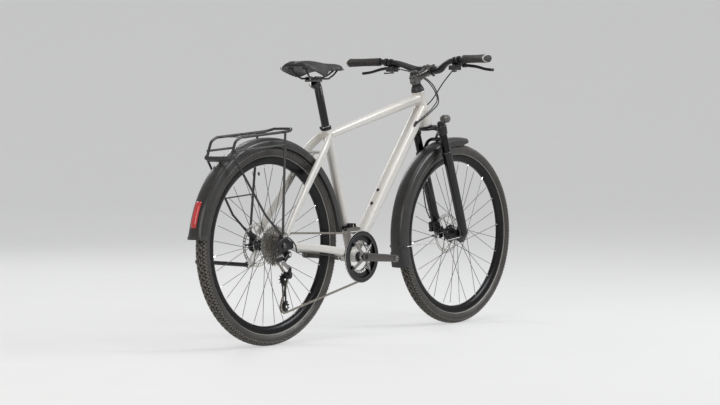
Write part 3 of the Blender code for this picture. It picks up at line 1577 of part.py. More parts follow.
def kickstand(paint):
    boss = rod(stand_pivot - stand_axis * 0.010, stand_pivot + stand_axis * 0.0033, 0.0105, 12)
    near = stand_pivot + stand_folded * 0.004
    far = stand_pivot + stand_folded * (stand_length - 0.012)
    leg = rod(near, far, 0.0078, 10, 0.0068)
    foot = rod(far - stand_folded * 0.018, far + stand_folded * 0.012, 0.0095, 10)
    piece("kickstand_leg", joined(boss, leg, foot), paint["black"], stand_pivot)


# Cords
def cord(paint, name, points, radius, spans, sides=5):
    path = smooth_path([Vector(p) for p in points], spans)
    up = Vector((0.31, 0.45, 0.84)).normalized()
    bm = bmesh.new()
    side_way = None
    loops = []
    for i, point in enumerate(path):
        before = path[max(i - 1, 0)]
        after = path[min(i + 1, len(path) - 1)]
        along = (after - before).normalized()
        if side_way is None:
            side_way = along.cross(up).normalized()
        side_way = (side_way - along * side_way.dot(along)).normalized()
        upward = side_way.cross(along)
        loops.append([bm.verts.new(point + (side_way * math.cos(a) + upward * math.sin(a)) * radius)
                      for a in [2 * math.pi * k / sides for k in range(sides)]])
    for lower, upper in zip(loops, loops[1:]):
        faces_between(bm, lower, upper)
    bm.faces.new(loops[0])
    bm.faces.new(loops[-1])
    piece(name, finished(bm), paint["rubber"])


def cords(paint):
    front = [at_head(0.0848, 0.058 - perch_y, 0.0956), at_head(0.1118, -0.085, 0.0796),
             at_head(0.1248, -0.030, 0.0346), at_head(0.1328, 0.030, -0.0304), fork(0.110, 0.075, 0.0620),
             fork(0.190, 0.046, 0.0850), fork(0.275, 0.022, 0.0884), fork(0.400, 0.008, 0.0842),
             fork(0.490, -0.010, 0.0770), on_front(-0.0815, 0.0640, 0.063)]
    cord(paint, "front_brake_hose", front, 0.0025, 4, 4)
    rear = [at_head(0.0848, perch_y - 0.058, 0.0956), at_head(0.1188, 0.080, 0.0696),
            at_head(0.1268, 0.020, 0.0246), at_head(0.0948, -0.030, -0.0404), at_head(0.0318, -0.042,
                                                                                      -0.0804),
            at_head(-0.0132, -0.0330, -0.1104), at_head(-0.0402, -0.0262, -0.1274)]
    cord(paint, "rear_brake_hose", rear, 0.0025, 4)
    housing = [at_bracket(-0.133, -0.0460, 0.0065), at_bracket(-0.208, -0.0500, 0.0165),
               on_rear(0.106, -0.0640, -0.027), on_rear(0.072, -0.0730, -0.026), on_rear(0.046, -0.0850,
                                                                                         0.005),
               on_rear(0.0, -0.0890, 0.031), on_rear(-0.044, -0.0870, 0.013), on_rear(-0.054, -0.0850,
                                                                                      -0.019),
               on_rear(-0.049, -0.0790, -0.046)]
    cord(paint, "derailleur_housing", housing, 0.0025, 4)


def build():
    paint = paints()
    head_tube(paint)
    main_tubes(paint)
    bracket_shell(paint)
    for side, word in ((-1, "right"), (1, "left")):
        seatstay(paint, side, "seatstay_" + word)
        chainstay(paint, side, "chainstay_" + word)
        rack_side(paint, side, "rack_side_" + word)
        controls(paint, side, "bar_controls_" + word)
        brake_lever(paint, side, "brake_lever_" + word)
        shift_lever(paint, side, "shift_lever_" + word)
        grip(paint, side, "grip_" + word)
    stay_bridge(paint)
    seat_clamp(paint)
    rear_mudguard(paint)
    tail_light(paint)
    rack_deck(paint)
    rear_caliper(paint)
    tyre(paint, front_axle, "tyre_front")
    tyre(paint, rear_axle, "tyre_rear")
    rim(paint, front_axle, "rim_front")
    rim(paint, rear_axle, "rim_rear")
    front_hub(paint)
    rear_hub(paint)
    rotor(paint, front_axle, front_rotor_y, "rotor_front")
    rotor(paint, rear_axle, rear_rotor_y, "rotor_rear")
    fork_crown(paint)
    lockout_knob(paint)
    fork_lowers(paint)
    front_caliper(paint)
    front_mudguard(paint)
    front_lamp(paint)
    stem(paint)
    handlebar(paint)
    chain(paint)
    chainrings(paint)
    crank_right(paint)
    crank_left(paint)
    cassette(paint)
    pulley(paint, chain_circles[2], "guide_pulley")
    pulley(paint, chain_circles[3], "tension_pulley")
    rear_cage(paint)
    rear_derailleur_base(paint)
    rear_derailleur_link(paint)
    front_derailleur(paint)
    front_derailleur_cage(paint)
    saddle_pad(paint)
    saddle_shell(paint)
    seatpost(paint)
    kickstand(paint)
    cords(paint)


build()
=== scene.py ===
"""The looks of the trekking bicycle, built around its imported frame.

Places and sizes of pieces are in millimetres in the bicycle's own axes: x forward from under the rear axle,
y to the rider's left, z up. put() moves each piece from there to the row frame, which is in metres.
"""
import json
from math import asin, atan2, copysign, cos, exp, pi, radians, sin, sqrt

import bmesh
import bpy
from mathutils import Matrix, Vector


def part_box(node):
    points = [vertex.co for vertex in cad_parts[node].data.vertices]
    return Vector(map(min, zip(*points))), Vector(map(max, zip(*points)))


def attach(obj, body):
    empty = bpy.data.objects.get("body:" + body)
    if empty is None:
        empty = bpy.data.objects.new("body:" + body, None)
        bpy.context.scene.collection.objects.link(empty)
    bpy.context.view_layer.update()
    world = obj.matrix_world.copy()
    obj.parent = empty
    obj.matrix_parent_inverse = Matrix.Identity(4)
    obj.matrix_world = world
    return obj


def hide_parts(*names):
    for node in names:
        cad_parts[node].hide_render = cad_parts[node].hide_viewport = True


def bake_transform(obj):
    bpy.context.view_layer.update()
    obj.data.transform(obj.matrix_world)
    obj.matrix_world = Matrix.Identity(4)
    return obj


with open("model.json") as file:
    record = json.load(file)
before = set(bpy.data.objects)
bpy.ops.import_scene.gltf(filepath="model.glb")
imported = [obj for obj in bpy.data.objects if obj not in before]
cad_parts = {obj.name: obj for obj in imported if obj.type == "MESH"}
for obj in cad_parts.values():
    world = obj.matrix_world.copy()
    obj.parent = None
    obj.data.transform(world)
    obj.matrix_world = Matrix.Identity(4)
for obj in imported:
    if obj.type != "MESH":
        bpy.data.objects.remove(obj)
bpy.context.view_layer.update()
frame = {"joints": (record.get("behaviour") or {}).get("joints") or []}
joints = {joint["name"]: joint for joint in frame["joints"]}
rear_tyre_low, rear_tyre_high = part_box("tyre_rear")
front_tyre_low, front_tyre_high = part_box("tyre_front")


def at(x, y, z):
    return Vector((x, y, z))


def route(*places):
    return [Vector(place) for place in places]


def unit(vector):
    return vector.normalized()


def from_frame(place):
    """A place of the row frame, in millimetres in the bicycle's own axes."""
    return (Vector(place) - shift) * 1000


def to_frame(place):
    return place / 1000 + shift


X, Y, Z = route((1, 0, 0), (0, 1, 0), (0, 0, 1))
sides = ((-1, "right"), (1, "left"))
steering = "steering_assembly"
lowers = "fork_lower_assembly"

# The frame's own sizes
shift = X * ((rear_tyre_low.x + rear_tyre_high.x) / 2)
tyre_radius = rear_tyre_high.z * 500
wheelbase = from_frame((front_tyre_low + front_tyre_high) / 2).x
rear_axle = at(0, 0, tyre_radius)
front_axle = at(wheelbase, 0, tyre_radius)
bracket = from_frame(joints["crank_spin"]["pos_m"])
head_top = from_frame(joints["steering"]["pos_m"])
up_the_fork = Vector(joints["steering"]["axis"])
down_the_fork = -up_the_fork
ahead_of_fork = at(up_the_fork.z, 0, -up_the_fork.x)
up_the_seat = Vector(joints["seat_height"]["axis"])
guide_pulley = from_frame(joints["guide_pulley_spin"]["pos_m"])
tension_pulley = from_frame(joints["tension_pulley_spin"]["pos_m"])
axle_down = (front_axle - head_top).dot(down_the_fork)
axle_ahead = (front_axle - head_top).dot(ahead_of_fork)

bead_radius = 317
chain_y = -44.5
chain_pitch = 12.7
ring_teeth = 44
inner_ring_teeth = 30
cog_counts = (11, 13, 15, 17, 19, 22, 25, 28, 32, 36)
cog_teeth = 22
cog_spacing = 3.95
pulley_teeth = 11
crank_length = 170
crank_rest_angle = radians(-4.4)
leg_y = 65
leg_ahead = 17
leg_top = 262
crown_top = 147
bar_clamp = at(943, 0, 1014)
bar_half_width = 345
grip_length = 133
front_rotor_y = 40.5
rear_rotor_y = 52
dropout_face = 73.8
down_tube_end = at(895.7, 0, 866.3)
top_tube_rear = at(326, 0, 754.6)
top_tube_front = at(882.3, 0, 904.3)


def fork(down, ahead, y=0):
    """A place given along the steering axis from the top of the head tube, ahead of it and to the left."""
    return head_top + down_the_fork * down + ahead_of_fork * ahead + Y * y


def seat(z, ahead=0):
    """A place on the seat tube's axis at height z, or ahead of it."""
    return bracket + up_the_seat * ((z - bracket.z) / up_the_seat.z) + X * ahead


def outward_at(angle):
    """The direction at this angle around an axle."""
    return at(cos(angle), 0, sin(angle))


def around(centre, radius, angle, y=0):
    """A place on a circle about an axle."""
    return centre + outward_at(angle) * radius + Y * y


def circle(count):
    """Angles spread evenly around a circle."""
    return [2 * pi * i / count for i in range(count)]


def added(name, data):
    """An object of the scene."""
    obj = bpy.data.objects.new(name, data)
    bpy.context.scene.collection.objects.link(obj)
    return obj


# Node helpers for the materials
class Nodes:
    """A material's nodes, with short calls for the ones that every finish uses."""

    def __init__(self, name):
        self.material = bpy.data.materials.new(name)
        self.material.use_nodes = True
        self.tree = self.material.node_tree
        self.shader = self.tree.nodes["Principled BSDF"]
        self.place = self.add("TexCoord", "Object", {})

    def feed(self, node, values):
        """Sets a node's inputs to values or links them to other nodes' outputs."""
        for key, value in values.items():
            socket = node.inputs[key]
            if isinstance(value, bpy.types.NodeSocket):
                self.tree.links.new(value, socket)
            else:
                socket.default_value = (*value, 1) if socket.type == "RGBA" else value

    def add(self, kind, output, values, **settings):
        """The output of a new node with these input values and settings."""
        node = self.tree.nodes.new("ShaderNode" + kind)
        for key, value in settings.items():
            setattr(node, key, value)
        self.feed(node, values)
        return node.outputs[output]

    def noise(self, scale, detail=3, stretch=(1, 1, 1)):
        place = self.add("Mapping", "Vector", {"Scale": stretch, "Vector": self.place})
        return self.add("TexNoise", "Fac", {"Scale": scale, "Detail": detail, "Vector": place})

    def cells(self, scale, feature="F1"):
        return self.add("TexVoronoi", "Distance", {"Scale": scale, "Vector": self.place}, feature=feature)

    def ramp(self, source, *stops):
        """Maps a value from 0 to 1 through (place, colour or grey) stops."""
        output = self.add("ValToRGB", "Color", {"Fac": source})
        elements = output.node.color_ramp.elements
        while len(elements) < len(stops):
            elements.new(0.5)
        for element, (place, colour) in zip(elements, stops):
            element.position = place
            element.color = (*colour, 1) if isinstance(colour, tuple) else (colour, colour, colour, 1)
        return output

    def mix(self, share, first, second):
        return self.add("Mix", 2, {0: share, 6: first, 7: second}, data_type="RGBA")

    def edge_wear_and_highlight(self, low=0.52, high=0.6):
        """One at sharp outer edges, through the mesh's pointiness, where finishes are lighter: wear and
        painted highlight.
        """
        return self.ramp(self.add("NewGeometry", "Pointiness", {}), (low, 0), (high, 1))

    def done(self, colour, rough, bump, **values):
        """The material with a colour, (source, low, high) roughness and (source, strength, distance) bump."""
        source, low, high = rough
        height, strength, distance = bump
        values["Base_Color"] = colour
        values["Roughness"] = self.ramp(source, (0.3, low), (0.7, high))
        values["Normal"] = self.add("Bump", "Normal", {"Strength": strength, "Distance": distance,
            "Height": height})
        self.feed(self.shader, {key.replace("_", " "): value for key, value in values.items()})
        return self.material


def shaded(colour, factor):
    return tuple(min(1, c * factor) for c in colour)


def pearl_paint():
    """Champagne-white pearl under soft lacquer: fine flakes, slow drifts of tone and a faint orange peel."""
    made = Nodes("pearl_paint")
    base = (0.84, 0.805, 0.745)
    sparkle = made.ramp(made.cells(2600), (0, shaded(base, 1.03)), (0.35, base), (0.9, shaded(base, 0.975)))
    cloud = made.ramp(made.noise(5, 2), (0.35, 0), (0.75, 1))
    return made.done(made.mix(cloud, sparkle, (0.83, 0.815, 0.785)), (made.noise(60), 0.3, 0.38),
        (made.noise(160, 1), 0.02, 0.0002), Metallic=0.12, Coat_Weight=0.4, Coat_Roughness=0.18,
        Coat_IOR=1.5)


def moulded(name, colour, low, high, grain=900, depth=0.0003, coat=0, edge=2.2, shine=0.5):
    """Dark moulded or painted surfaces: fine grain, cloudy gloss and lighter edges, which are rubbed wear and
    painted highlight.
    """
    made = Nodes(name)
    cloud = made.ramp(made.noise(35), (0.3, shaded(colour, 0.75)), (0.7, shaded(colour, 1.35)))
    return made.done(made.mix(made.edge_wear_and_highlight(), cloud, shaded(colour, edge)), (made.noise(90), low, high),
        (made.noise(grain, 2), 0.25, depth), Coat_Weight=coat, Coat_Roughness=0.12,
        Specular_IOR_Level=shine)


def metal(name, colour, low, high, stretch=(1, 1, 1), scale=400, dirt=0.35):
    """Bare or anodised metal: brushed streaks, darker grime in patches and brighter edges, which are wear and
    painted highlight.
    """
    made = Nodes(name)
    streaks = made.noise(scale, 2, stretch)
    lit = made.ramp(streaks, (0.3, shaded(colour, 0.8)), (0.7, shaded(colour, 1.12)))
    grime = made.ramp(made.noise(55, 4), (0.48, 0), (0.78, dirt))
    dirty = made.mix(grime, lit, shaded(colour, 0.3))
    return made.done(made.mix(made.edge_wear_and_highlight(0.53, 0.64), dirty, shaded(colour, 1.3)),
        (streaks, low, high), (streaks, 0.12, 0.0002), Metallic=1)


def dusty(made, scale, dark, pale, start=0.35):
    """Rubber with dust in soft patches."""
    return made.ramp(made.noise(scale, 5), (start, dark), (0.75, pale))


def tread_rubber():
    """Tread blocks: black in the grooves, with the tops and edges grey from road wear and painted highlight.
    """
    made = Nodes("tread_rubber")
    dust = dusty(made, 30, (0.014, 0.0135, 0.013), (0.034, 0.031, 0.028))
    return made.done(made.mix(made.edge_wear_and_highlight(0.502, 0.54), dust, (0.2, 0.188, 0.172)),
        (made.noise(50), 0.52, 0.75), (made.noise(1300), 0.35, 0.0004))


def tyre_rubber():
    made = Nodes("tyre_rubber")
    return made.done(dusty(made, 24, (0.012, 0.0115, 0.011), (0.024, 0.022, 0.02)),
        (made.noise(50), 0.62, 0.85), (made.noise(1300), 0.35, 0.0004))


def sidewall_rubber():
    """The side of the tyre: finely ribbed cords under rubber, a dusty grey-brown."""
    made = Nodes("sidewall_rubber")
    return made.done(dusty(made, 18, (0.034, 0.031, 0.028), (0.066, 0.06, 0.053), 0.3),
        (made.noise(40), 0.38, 0.55), (made.cells(900), 0.22, 0.0003))


def saddle_cover():
    """Synthetic leather: pebbled grain, softly polished where it is sat on."""
    made = Nodes("saddle_cover")
    grain = made.cells(950, "SMOOTH_F1")
    colour = made.ramp(grain, (0, (0.03, 0.029, 0.028)), (0.6, (0.017, 0.0165, 0.016)))
    rubbed = made.ramp(made.noise(14), (0.45, 0), (0.8, 0.5))
    return made.done(made.mix(rubbed, colour, (0.04, 0.038, 0.036)), (made.noise(30), 0.36, 0.52),
        (grain, 0.35, 0.0005))


def grip_rubber():
    made = Nodes("grip_rubber")
    colour = made.ramp(made.noise(45, 4), (0.3, (0.024, 0.0225, 0.021)), (0.7, (0.046, 0.043, 0.04)))
    return made.done(colour, (made.noise(70), 0.6, 0.78), (made.cells(1100), 0.45, 0.0005))


def clear_lens(name, colour, rough, glow=0):
    made = Nodes(name)
    tone = made.ramp(made.noise(120), (0.3, shaded(colour, 0.85)), (0.7, shaded(colour, 1.1)))
    shine = {"Emission_Color": colour, "Emission_Strength": glow} if glow else {}
    return made.done(tone, (made.noise(80), rough, rough + 0.1), (made.noise(500), 0.08, 0.0003),
        Coat_Weight=1, Coat_Roughness=0.04, **shine)


finishes = {made.name.split(".")[0]: (made, slot) for slot, made in (
    ("pearl", pearl_paint()),
    ("black", moulded("black_paint", (0.02, 0.02, 0.021), 0.26, 0.38, 700, 0.0002, 0.35)),
    ("black", moulded("black_gloss", (0.01, 0.01, 0.011), 0.12, 0.24, 600, 0.0001, 0.3, shine=0.28)),
    ("plastic", moulded("black_plastic", (0.022, 0.022, 0.023), 0.42, 0.58)),
    ("guard", moulded("guard_plastic", (0.029, 0.028, 0.027), 0.3, 0.42, 1200, 0.0002, 0.15, shine=0.42)),
    # Black lamp plastic given a lighter grey that stands for the strong light falling on the lamp: painted
    # light.
    ("plastic", moulded("lamp_plastic_painted_lit", (0.125, 0.12, 0.112), 0.2, 0.32, 1200, 0.0002, 0.4)),
    ("satin", metal("anodised", (0.04, 0.04, 0.042), 0.28, 0.42)),
    ("black", metal("rim_black", (0.028, 0.028, 0.029), 0.22, 0.34, (1, 8, 1), 300, 0.2)),
    ("steel", metal("steel", (0.52, 0.51, 0.49), 0.22, 0.4)),
    ("steel", metal("chain_steel", (0.27, 0.25, 0.22), 0.24, 0.4, dirt=0.7)),
    ("steel", metal("cog_steel", (0.4, 0.39, 0.375), 0.2, 0.34, dirt=0.5)),
    ("steel", metal("rotor_steel", (0.55, 0.53, 0.5), 0.2, 0.34, (1, 1, 1), 700, 0.25)),
    ("silver", metal("silver", (0.74, 0.74, 0.73), 0.16, 0.28, dirt=0.15)),
    ("tyre", tyre_rubber()),
    ("tyre", tread_rubber()),
    ("tyre", sidewall_rubber()),
    ("rubber", grip_rubber()),
    ("rubber", moulded("cable_jacket", (0.016, 0.016, 0.017), 0.3, 0.42, 500, 0.0001)),
    ("cover", saddle_cover()),
    ("red", clear_lens("red_lens", (0.6, 0.012, 0.016), 0.1, 0.1)),
    ("plastic", clear_lens("lamp_lens", (0.66, 0.67, 0.68), 0.06)),
    ("plastic", moulded("light_ring", (0.66, 0.63, 0.58), 0.3, 0.42, edge=1.1)),
    ("satin", moulded("black_satin", (0.014, 0.014, 0.015), 0.26, 0.38, 800, 0.0001, 0.1, shine=0.32)),
    ("satin", moulded("rack_black", (0.018, 0.018, 0.018), 0.3, 0.44, 900, 0.0002, 0.15)),
    # Dark grey metal, made lighter than its own tone to stand in for the reflection on the stem and cranks:
    # partly its own grey, partly painted reflection.
    ("satin", metal("crank_grey_painted_sheen", (0.13, 0.125, 0.118), 0.24, 0.36, (1, 1, 1), 500, 0.2)),
    ("silver", metal("silver_grey", (0.3, 0.29, 0.28), 0.24, 0.38, dirt=0.3)),
    ("steel", metal("dark_steel", (0.2, 0.19, 0.175), 0.24, 0.36, dirt=0.4)),
    ("steel", metal("spoke_steel", (0.05, 0.05, 0.052), 0.2, 0.3, dirt=0.2)),
    ("satin", metal("stanchion", (0.02, 0.02, 0.021), 0.1, 0.18, (1, 1, 8), 200, 0.1)),
    # Pale grey for the thin line along the tyre's bead, standing in for a highlight there: painted highlight.
    ("tyre", moulded("sidewall_painted_highlight", (0.3, 0.285, 0.26), 0.35, 0.5, edge=1.2)))}


# Mesh makers: each gives a bmesh, which put() turns into a piece
def faces_between(bm, lower, upper):
    count = max(len(lower), len(upper))
    for i in range(count):
        j = (i + 1) % count
        corners = [lower[i % len(lower)], lower[j % len(lower)], upper[j % len(upper)],
            upper[i % len(upper)]]
        unique = [v for k, v in enumerate(corners) if v not in corners[:k]]
        if len(unique) > 2:
            bm.faces.new(unique)


def finished(bm):
    bmesh.ops.recalc_face_normals(bm, faces=bm.faces)
    return bm


def skin(rings, ring=False, bm=None):
    """A surface over rings of points, capped at both ends. ring joins the last to the first instead."""
    made = bmesh.new() if bm is None else bm
    loops = [[made.verts.new(place) for place in places] for places in rings]
    for lower, upper in zip(loops, loops[1:] + loops[:1] * ring):
        faces_between(made, lower, upper)
    for loop in (loops[0], loops[-1]):
        if not ring and len(loop) > 1:
            made.faces.new(loop)
    return finished(made) if bm is None else made


def lathe(profile, base, axis, steps=48, ring=False):
    """Turns (radius, along) pairs about an axis. ring joins the last to the first, for a pierced shape."""
    axis = unit(axis)
    side = unit(axis.orthogonal()) if abs(axis.y) < 0.5 else X
    side = unit(side - axis * side.dot(axis))
    other = axis.cross(side)
    return skin([[base + axis * along + (side * cos(a) + other * sin(a)) * radius
        for a in (circle(steps) if radius else [0])] for radius, along in profile], ring)


def hoop(profile, base, axis, steps=48):
    return lathe(profile, base, axis, steps, True)


def round_section(width, height, power=2, count=24):
    """A rounded section: power 2 is an ellipse, and more makes it squarer."""
    points = []
    for i in range(count):
        angle = 2 * pi * (i + 0.5) / count
        c, s = cos(angle), sin(angle)
        points.append((copysign(abs(c) ** (2 / power), c) * width / 2,
            copysign(abs(s) ** (2 / power), s) * height / 2))
    return points


def frames(points, up):
    """(side, up) at each point of a path, with up kept near the given direction."""
    found = []
    for before, after in zip(points[:1] + points[:-1], points[1:] + points[-1:]):
        along = unit(after - before)
        side = unit(along.cross(up))
        found.append((side, unit(side.cross(along))))
    return found


def sweep(points, sections, up=Z):
    """Runs a section, or one section for each point, along a path."""
    if isinstance(sections[0], tuple):
        sections = [sections] * len(points)
    return skin([[point + side * a + upward * b for a, b in section]
        for point, section, (side, upward) in zip(points, sections, frames(points, up))])


def curve_through(points, per_span=8):
    """A Catmull-Rom curve through points."""
    made = []
    ends = [points[0] * 2 - points[1]] + list(points) + [points[-1] * 2 - points[-2]]
    for i in range(1, len(ends) - 2):
        a, b, c, d = ends[i - 1:i + 3]
        for k in range(per_span):
            t = k / per_span
            made.append((b * 2 + (c - a) * t + (a * 2 - b * 5 + c * 4 - d) * t * t
                + (b * 3 - a - c * 3 + d) * t * t * t) * 0.5)
    made.append(points[-1].copy())
    return made


def limb(points, sizes, per_span, power=3, count=28, up=Z):
    """A rounded bar on a smooth curve through points, with its (width, height) sizes smoothed as well."""
    rows = curve_through([at(w, h, 0) for w, h in sizes], per_span)
    return sweep(curve_through(points, per_span), [round_section(row.x, row.y, power, count)
        for row in rows], up)


def tube(points, radii, sides=12, per_span=8):
    """A round tube along a smooth curve. radii is one number, or one for each point."""
    radii = radii if isinstance(radii, (list, tuple)) else [radii] * len(points)
    path, wide = points, [at(r, 0, 0) for r in radii]
    if per_span > 1:
        path, wide = curve_through(path, per_span), curve_through(wide, per_span)
    rings = []
    side = unit(unit(path[1] - path[0]).orthogonal())
    for before, point, after, size in zip(path[:1] + path[:-1], path, path[1:] + path[-1:], wide):
        along = unit(after - before)
        side = unit(side - along * side.dot(along))
        upward = side.cross(along)
        rings.append([point + (side * cos(a) + upward * sin(a)) * size.x for a in circle(sides)])
    return skin(rings)


def rod(start, end, radius, sides=20, end_radius=None):
    return tube([start, end], [radius, radius if end_radius is None else end_radius], sides, 1)


def block(centre, size, along=X, side=Y):
    """A box with its own length and side directions, which put() gives rounded edges."""
    bm = bmesh.new()
    bmesh.ops.create_cube(bm, size=1)
    along, side = unit(along), unit(side)
    turn = Matrix((along * size[0], side * size[1], along.cross(side) * size[2])).transposed().to_4x4()
    bmesh.ops.transform(bm, matrix=Matrix.Translation(centre) @ turn, verts=bm.verts)
    return finished(bm)


def plate(outline, origin, right, up, thickness):
    """An outline in the plane of right and up, given thickness to both sides of that plane."""
    through = unit(right.cross(up)) * (thickness / 2)
    return skin([[origin + right * a + up * b + through * side for a, b in outline] for side in (-1, 1)])


def together(*parts):
    """Several shapes in one mesh."""
    whole = bmesh.new()
    scratch = bpy.data.meshes.new("scratch")
    for part in parts:
        part.to_mesh(scratch)
        part.free()
        whole.from_mesh(scratch)
    bpy.data.meshes.remove(scratch)
    return whole


def sided(bm, side):
    """The shape itself for the left side, or flipped to the right side of the bicycle."""
    if side < 0:
        for v in bm.verts:
            v.co.y = -v.co.y
        bmesh.ops.reverse_faces(bm, faces=bm.faces)
    return bm


def mirrored(points):
    return [at(p.x, -p.y, p.z) for p in points]


def put(name, shape, finish, body, replaces=None, bevel=0, sharp=38, segments=2):
    """One piece of the bicycle, of one shape or several, riding on a CAD body, or left where it is when it is
    given two bodies.
    """
    bm = together(*shape) if isinstance(shape, list) else shape
    mesh = bpy.data.meshes.new(name)
    for v in bm.verts:
        v.co = to_frame(v.co)
    bm.to_mesh(mesh)
    bm.free()
    made, slot = finishes[finish]
    mesh.materials.append(made)
    mesh.shade_smooth()
    mesh.set_sharp_from_angle(angle=radians(sharp))
    obj = added(name, mesh)
    if bevel:
        rounded = obj.modifiers.new("edges", "BEVEL")
        rounded.width = bevel / 1000
        rounded.segments = segments
        rounded.limit_method = "ANGLE"
        rounded.angle_limit = radians(35)
        rounded.harden_normals = True
    if isinstance(body, str):
        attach(obj, body)
    else:
        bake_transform(obj)
    if replaces:
        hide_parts(replaces)
    return obj


# Wheels
def casing_point(centre, angle, y, lift=0):
    """A place on the tyre's outer skin at this angle and distance from its middle, or lifted off it."""
    half, deep = 23.2, 19.7
    share = max(-0.999, min(0.999, y / half))
    rise = sqrt(1 - share * share)
    slope = unit(Vector((y / half ** 2, rise / deep)))
    return around(centre, tyre_radius - 23.5 + deep * rise + slope.y * lift, angle, y + slope.x * lift)


square = ((-1, -1), (1, -1), (1, 1), (-1, 1))


def knob(bm, centre, angle, y, long, wide, lift, lean):
    """One tread block on the casing: long in radians around the wheel, wide across it, with a lean."""
    rings = []
    for height, shrink in ((-1.2, 1), (lift * 0.75, 0.93), (lift, 0.8)):
        rings.append([casing_point(centre, angle + a * long * shrink / 2 + b * lean,
            y + b * wide * shrink / 2, height) for a, b in square])
    skin(rings, bm=bm)


def tyre(centre, end, body):
    """The casing in three bands and the tread blocks."""
    def casing(places):
        return [(p.x, p.y) for p in [casing_point(centre, 0, y) - centre for y in places]]

    crown = casing([18.8 - 1.88 * i for i in range(21)])
    under = [(r - 3.5, y * 0.93) for r, y in reversed(crown)]
    put("tyre_band_" + end, hoop(crown + under, centre, Y, 144), "tyre_rubber", body, "tyre_" + end)
    wall = [(bead_radius + r, y) for r, y in ((0.4, 13.3), (3, 15.2), (8, 18.6), (13.5, 21.4), (19.5, 23),
        (24, 23.1))]
    wall += casing((22.6, 21.6, 20.2, 18.6))
    wall += [(r - 0.8, y - 2.2) for r, y in reversed(wall)]
    # A thin raised rib near the bead, coloured pale grey as a painted highlight.
    highlight_rib = [(bead_radius + r, y) for r, y in ((2.6, 15.4), (3.4, 16.3), (5, 17.3), (4.2, 15.6))]
    for side, name in reversed(sides):
        for piece, profile, finish in (("sidewall_", wall, "sidewall_rubber"),
                ("sidewall_rib_", highlight_rib, "sidewall_painted_highlight")):
            shape = hoop([(r, y * side) for r, y in profile], centre, Y, 144)
            put(piece + end + "_" + name, shape, finish, body)
    tread = bmesh.new()
    pitches = 84
    step = 2 * pi / pitches
    for angle in circle(pitches):
        for side, ahead in ((1, 0), (-1, 0.5)):
            knob(tread, centre, angle + step * ahead, side * 3.4, step * 0.6, 4.8, 3.8, side * 0.006)
        for side, start in ((1, 0.25), (-1, 0.75)):
            for ahead, y, long, wide, lift, lean in ((0, 10.2, 0.4, 5.8, 3.7, 0.006),
                    (0.5, 11.2, 0.26, 5, 3.7, 0), (0.25, 17.2, 0.3, 5.6, 3.6, 0),
                    (0.75, 18.2, 0.24, 6, 3.6, 0), (0.5, 21, 0.18, 3, 2.2, 0), (0, 21, 0.18, 3, 2.2, 0)):
                knob(tread, centre, angle + step * (start + ahead), side * y, step * long, wide, lift,
                    side * lean)
    put("tyre_tread_" + end, finished(tread), "tread_rubber", body)


spoke_count = 32
spoke_cross = radians(67.5)
rim_inner = bead_radius - 26.5


def spoke_ends(centre, index, flange_radius, flange_y):
    """Where a spoke leaves the hub's flange and meets the rim."""
    angle = 2 * pi * (index + 0.5) / spoke_count
    side = 1 if index % 2 else -1
    sense = 1 if index // 2 % 2 else -1
    hub_end = around(centre, flange_radius - 2.5, angle + sense * spoke_cross, flange_y[index % 2])
    return hub_end, around(centre, rim_inner + 0.5, angle, side * 2.8)


def rim(centre, end, body, flange_radius, flange_y):
    half = [(bead_radius + r, y) for r, y in ((-26.5, 0), (-26.3, 4.2), (-24.7, 7.2), (-19.5, 10.8),
        (-12.5, 13.6), (-5, 14.7), (0, 15), (1.4, 14.9), (1.8, 14), (1.2, 12.8), (-4, 12.2), (-6, 6))]
    profile = [(r, -y) for r, y in half[1:]] + half[::-1]
    put("rim_shell_" + end, hoop(profile, centre, Y, 160), "rim_black", body, "rim_" + end)
    spokes = []
    nipples = []
    for i in range(spoke_count):
        hub_end, rim_end = spoke_ends(centre, i, flange_radius, flange_y)
        way = unit(hub_end - rim_end)
        spokes.append(rod(hub_end, rim_end, 1, 8))
        nipples.append(rod(rim_end - way * 2, rim_end + way * 7, 2, 8))
        nipples.append(rod(rim_end + way * 6.6, rim_end + way * 12, 1.6, 8, 1.3))
    put("spokes_" + end, spokes, "spoke_steel", body)
    put("nipples_" + end, nipples, "silver", body)
    angle = pi / 2 + pi / spoke_count * 2
    put("valve_" + end, [rod(around(centre, rim_inner + a, angle), around(centre, rim_inner + b, angle),
        radius, 12) for a, b, radius in ((4, -30, 3), (1, -3.5, 5.5))], "silver", body)
    cap = lathe([(3.6, 0), (3.8, 2), (3.6, 10), (2.4, 12.5)], around(centre, rim_inner - 22, angle),
        -outward_at(angle), 12)
    put("valve_cap_" + end, cap, "black_plastic", body)


def hub_shell(centre, end, body, half, waist, flange_radius, flange_y, carrier_y):
    low, high = flange_y
    edge = flange_radius - 1
    profile = [(9.5, -half), (9.5, low - 8.5), (15, low - 7), (16.5, low - 3.5), (edge, low - 1.8),
        (flange_radius, low - 0.8), (flange_radius, low + 1), (edge, low + 1.8), (waist + 3, low + 4.5),
        (waist, low + 12), (waist, high - 12), (waist + 3, high - 4.5), (edge, high - 1.8),
        (flange_radius, high - 0.8), (flange_radius, high + 1), (edge, high + 1.8), (17.5, high + 4),
        (17, carrier_y + 4), (10.5, carrier_y + 4.8), (9.5, half)]
    put("hub_" + end, lathe(profile, centre, Y, 64), "black_gloss", body, "hub_and_spokes_" + end)


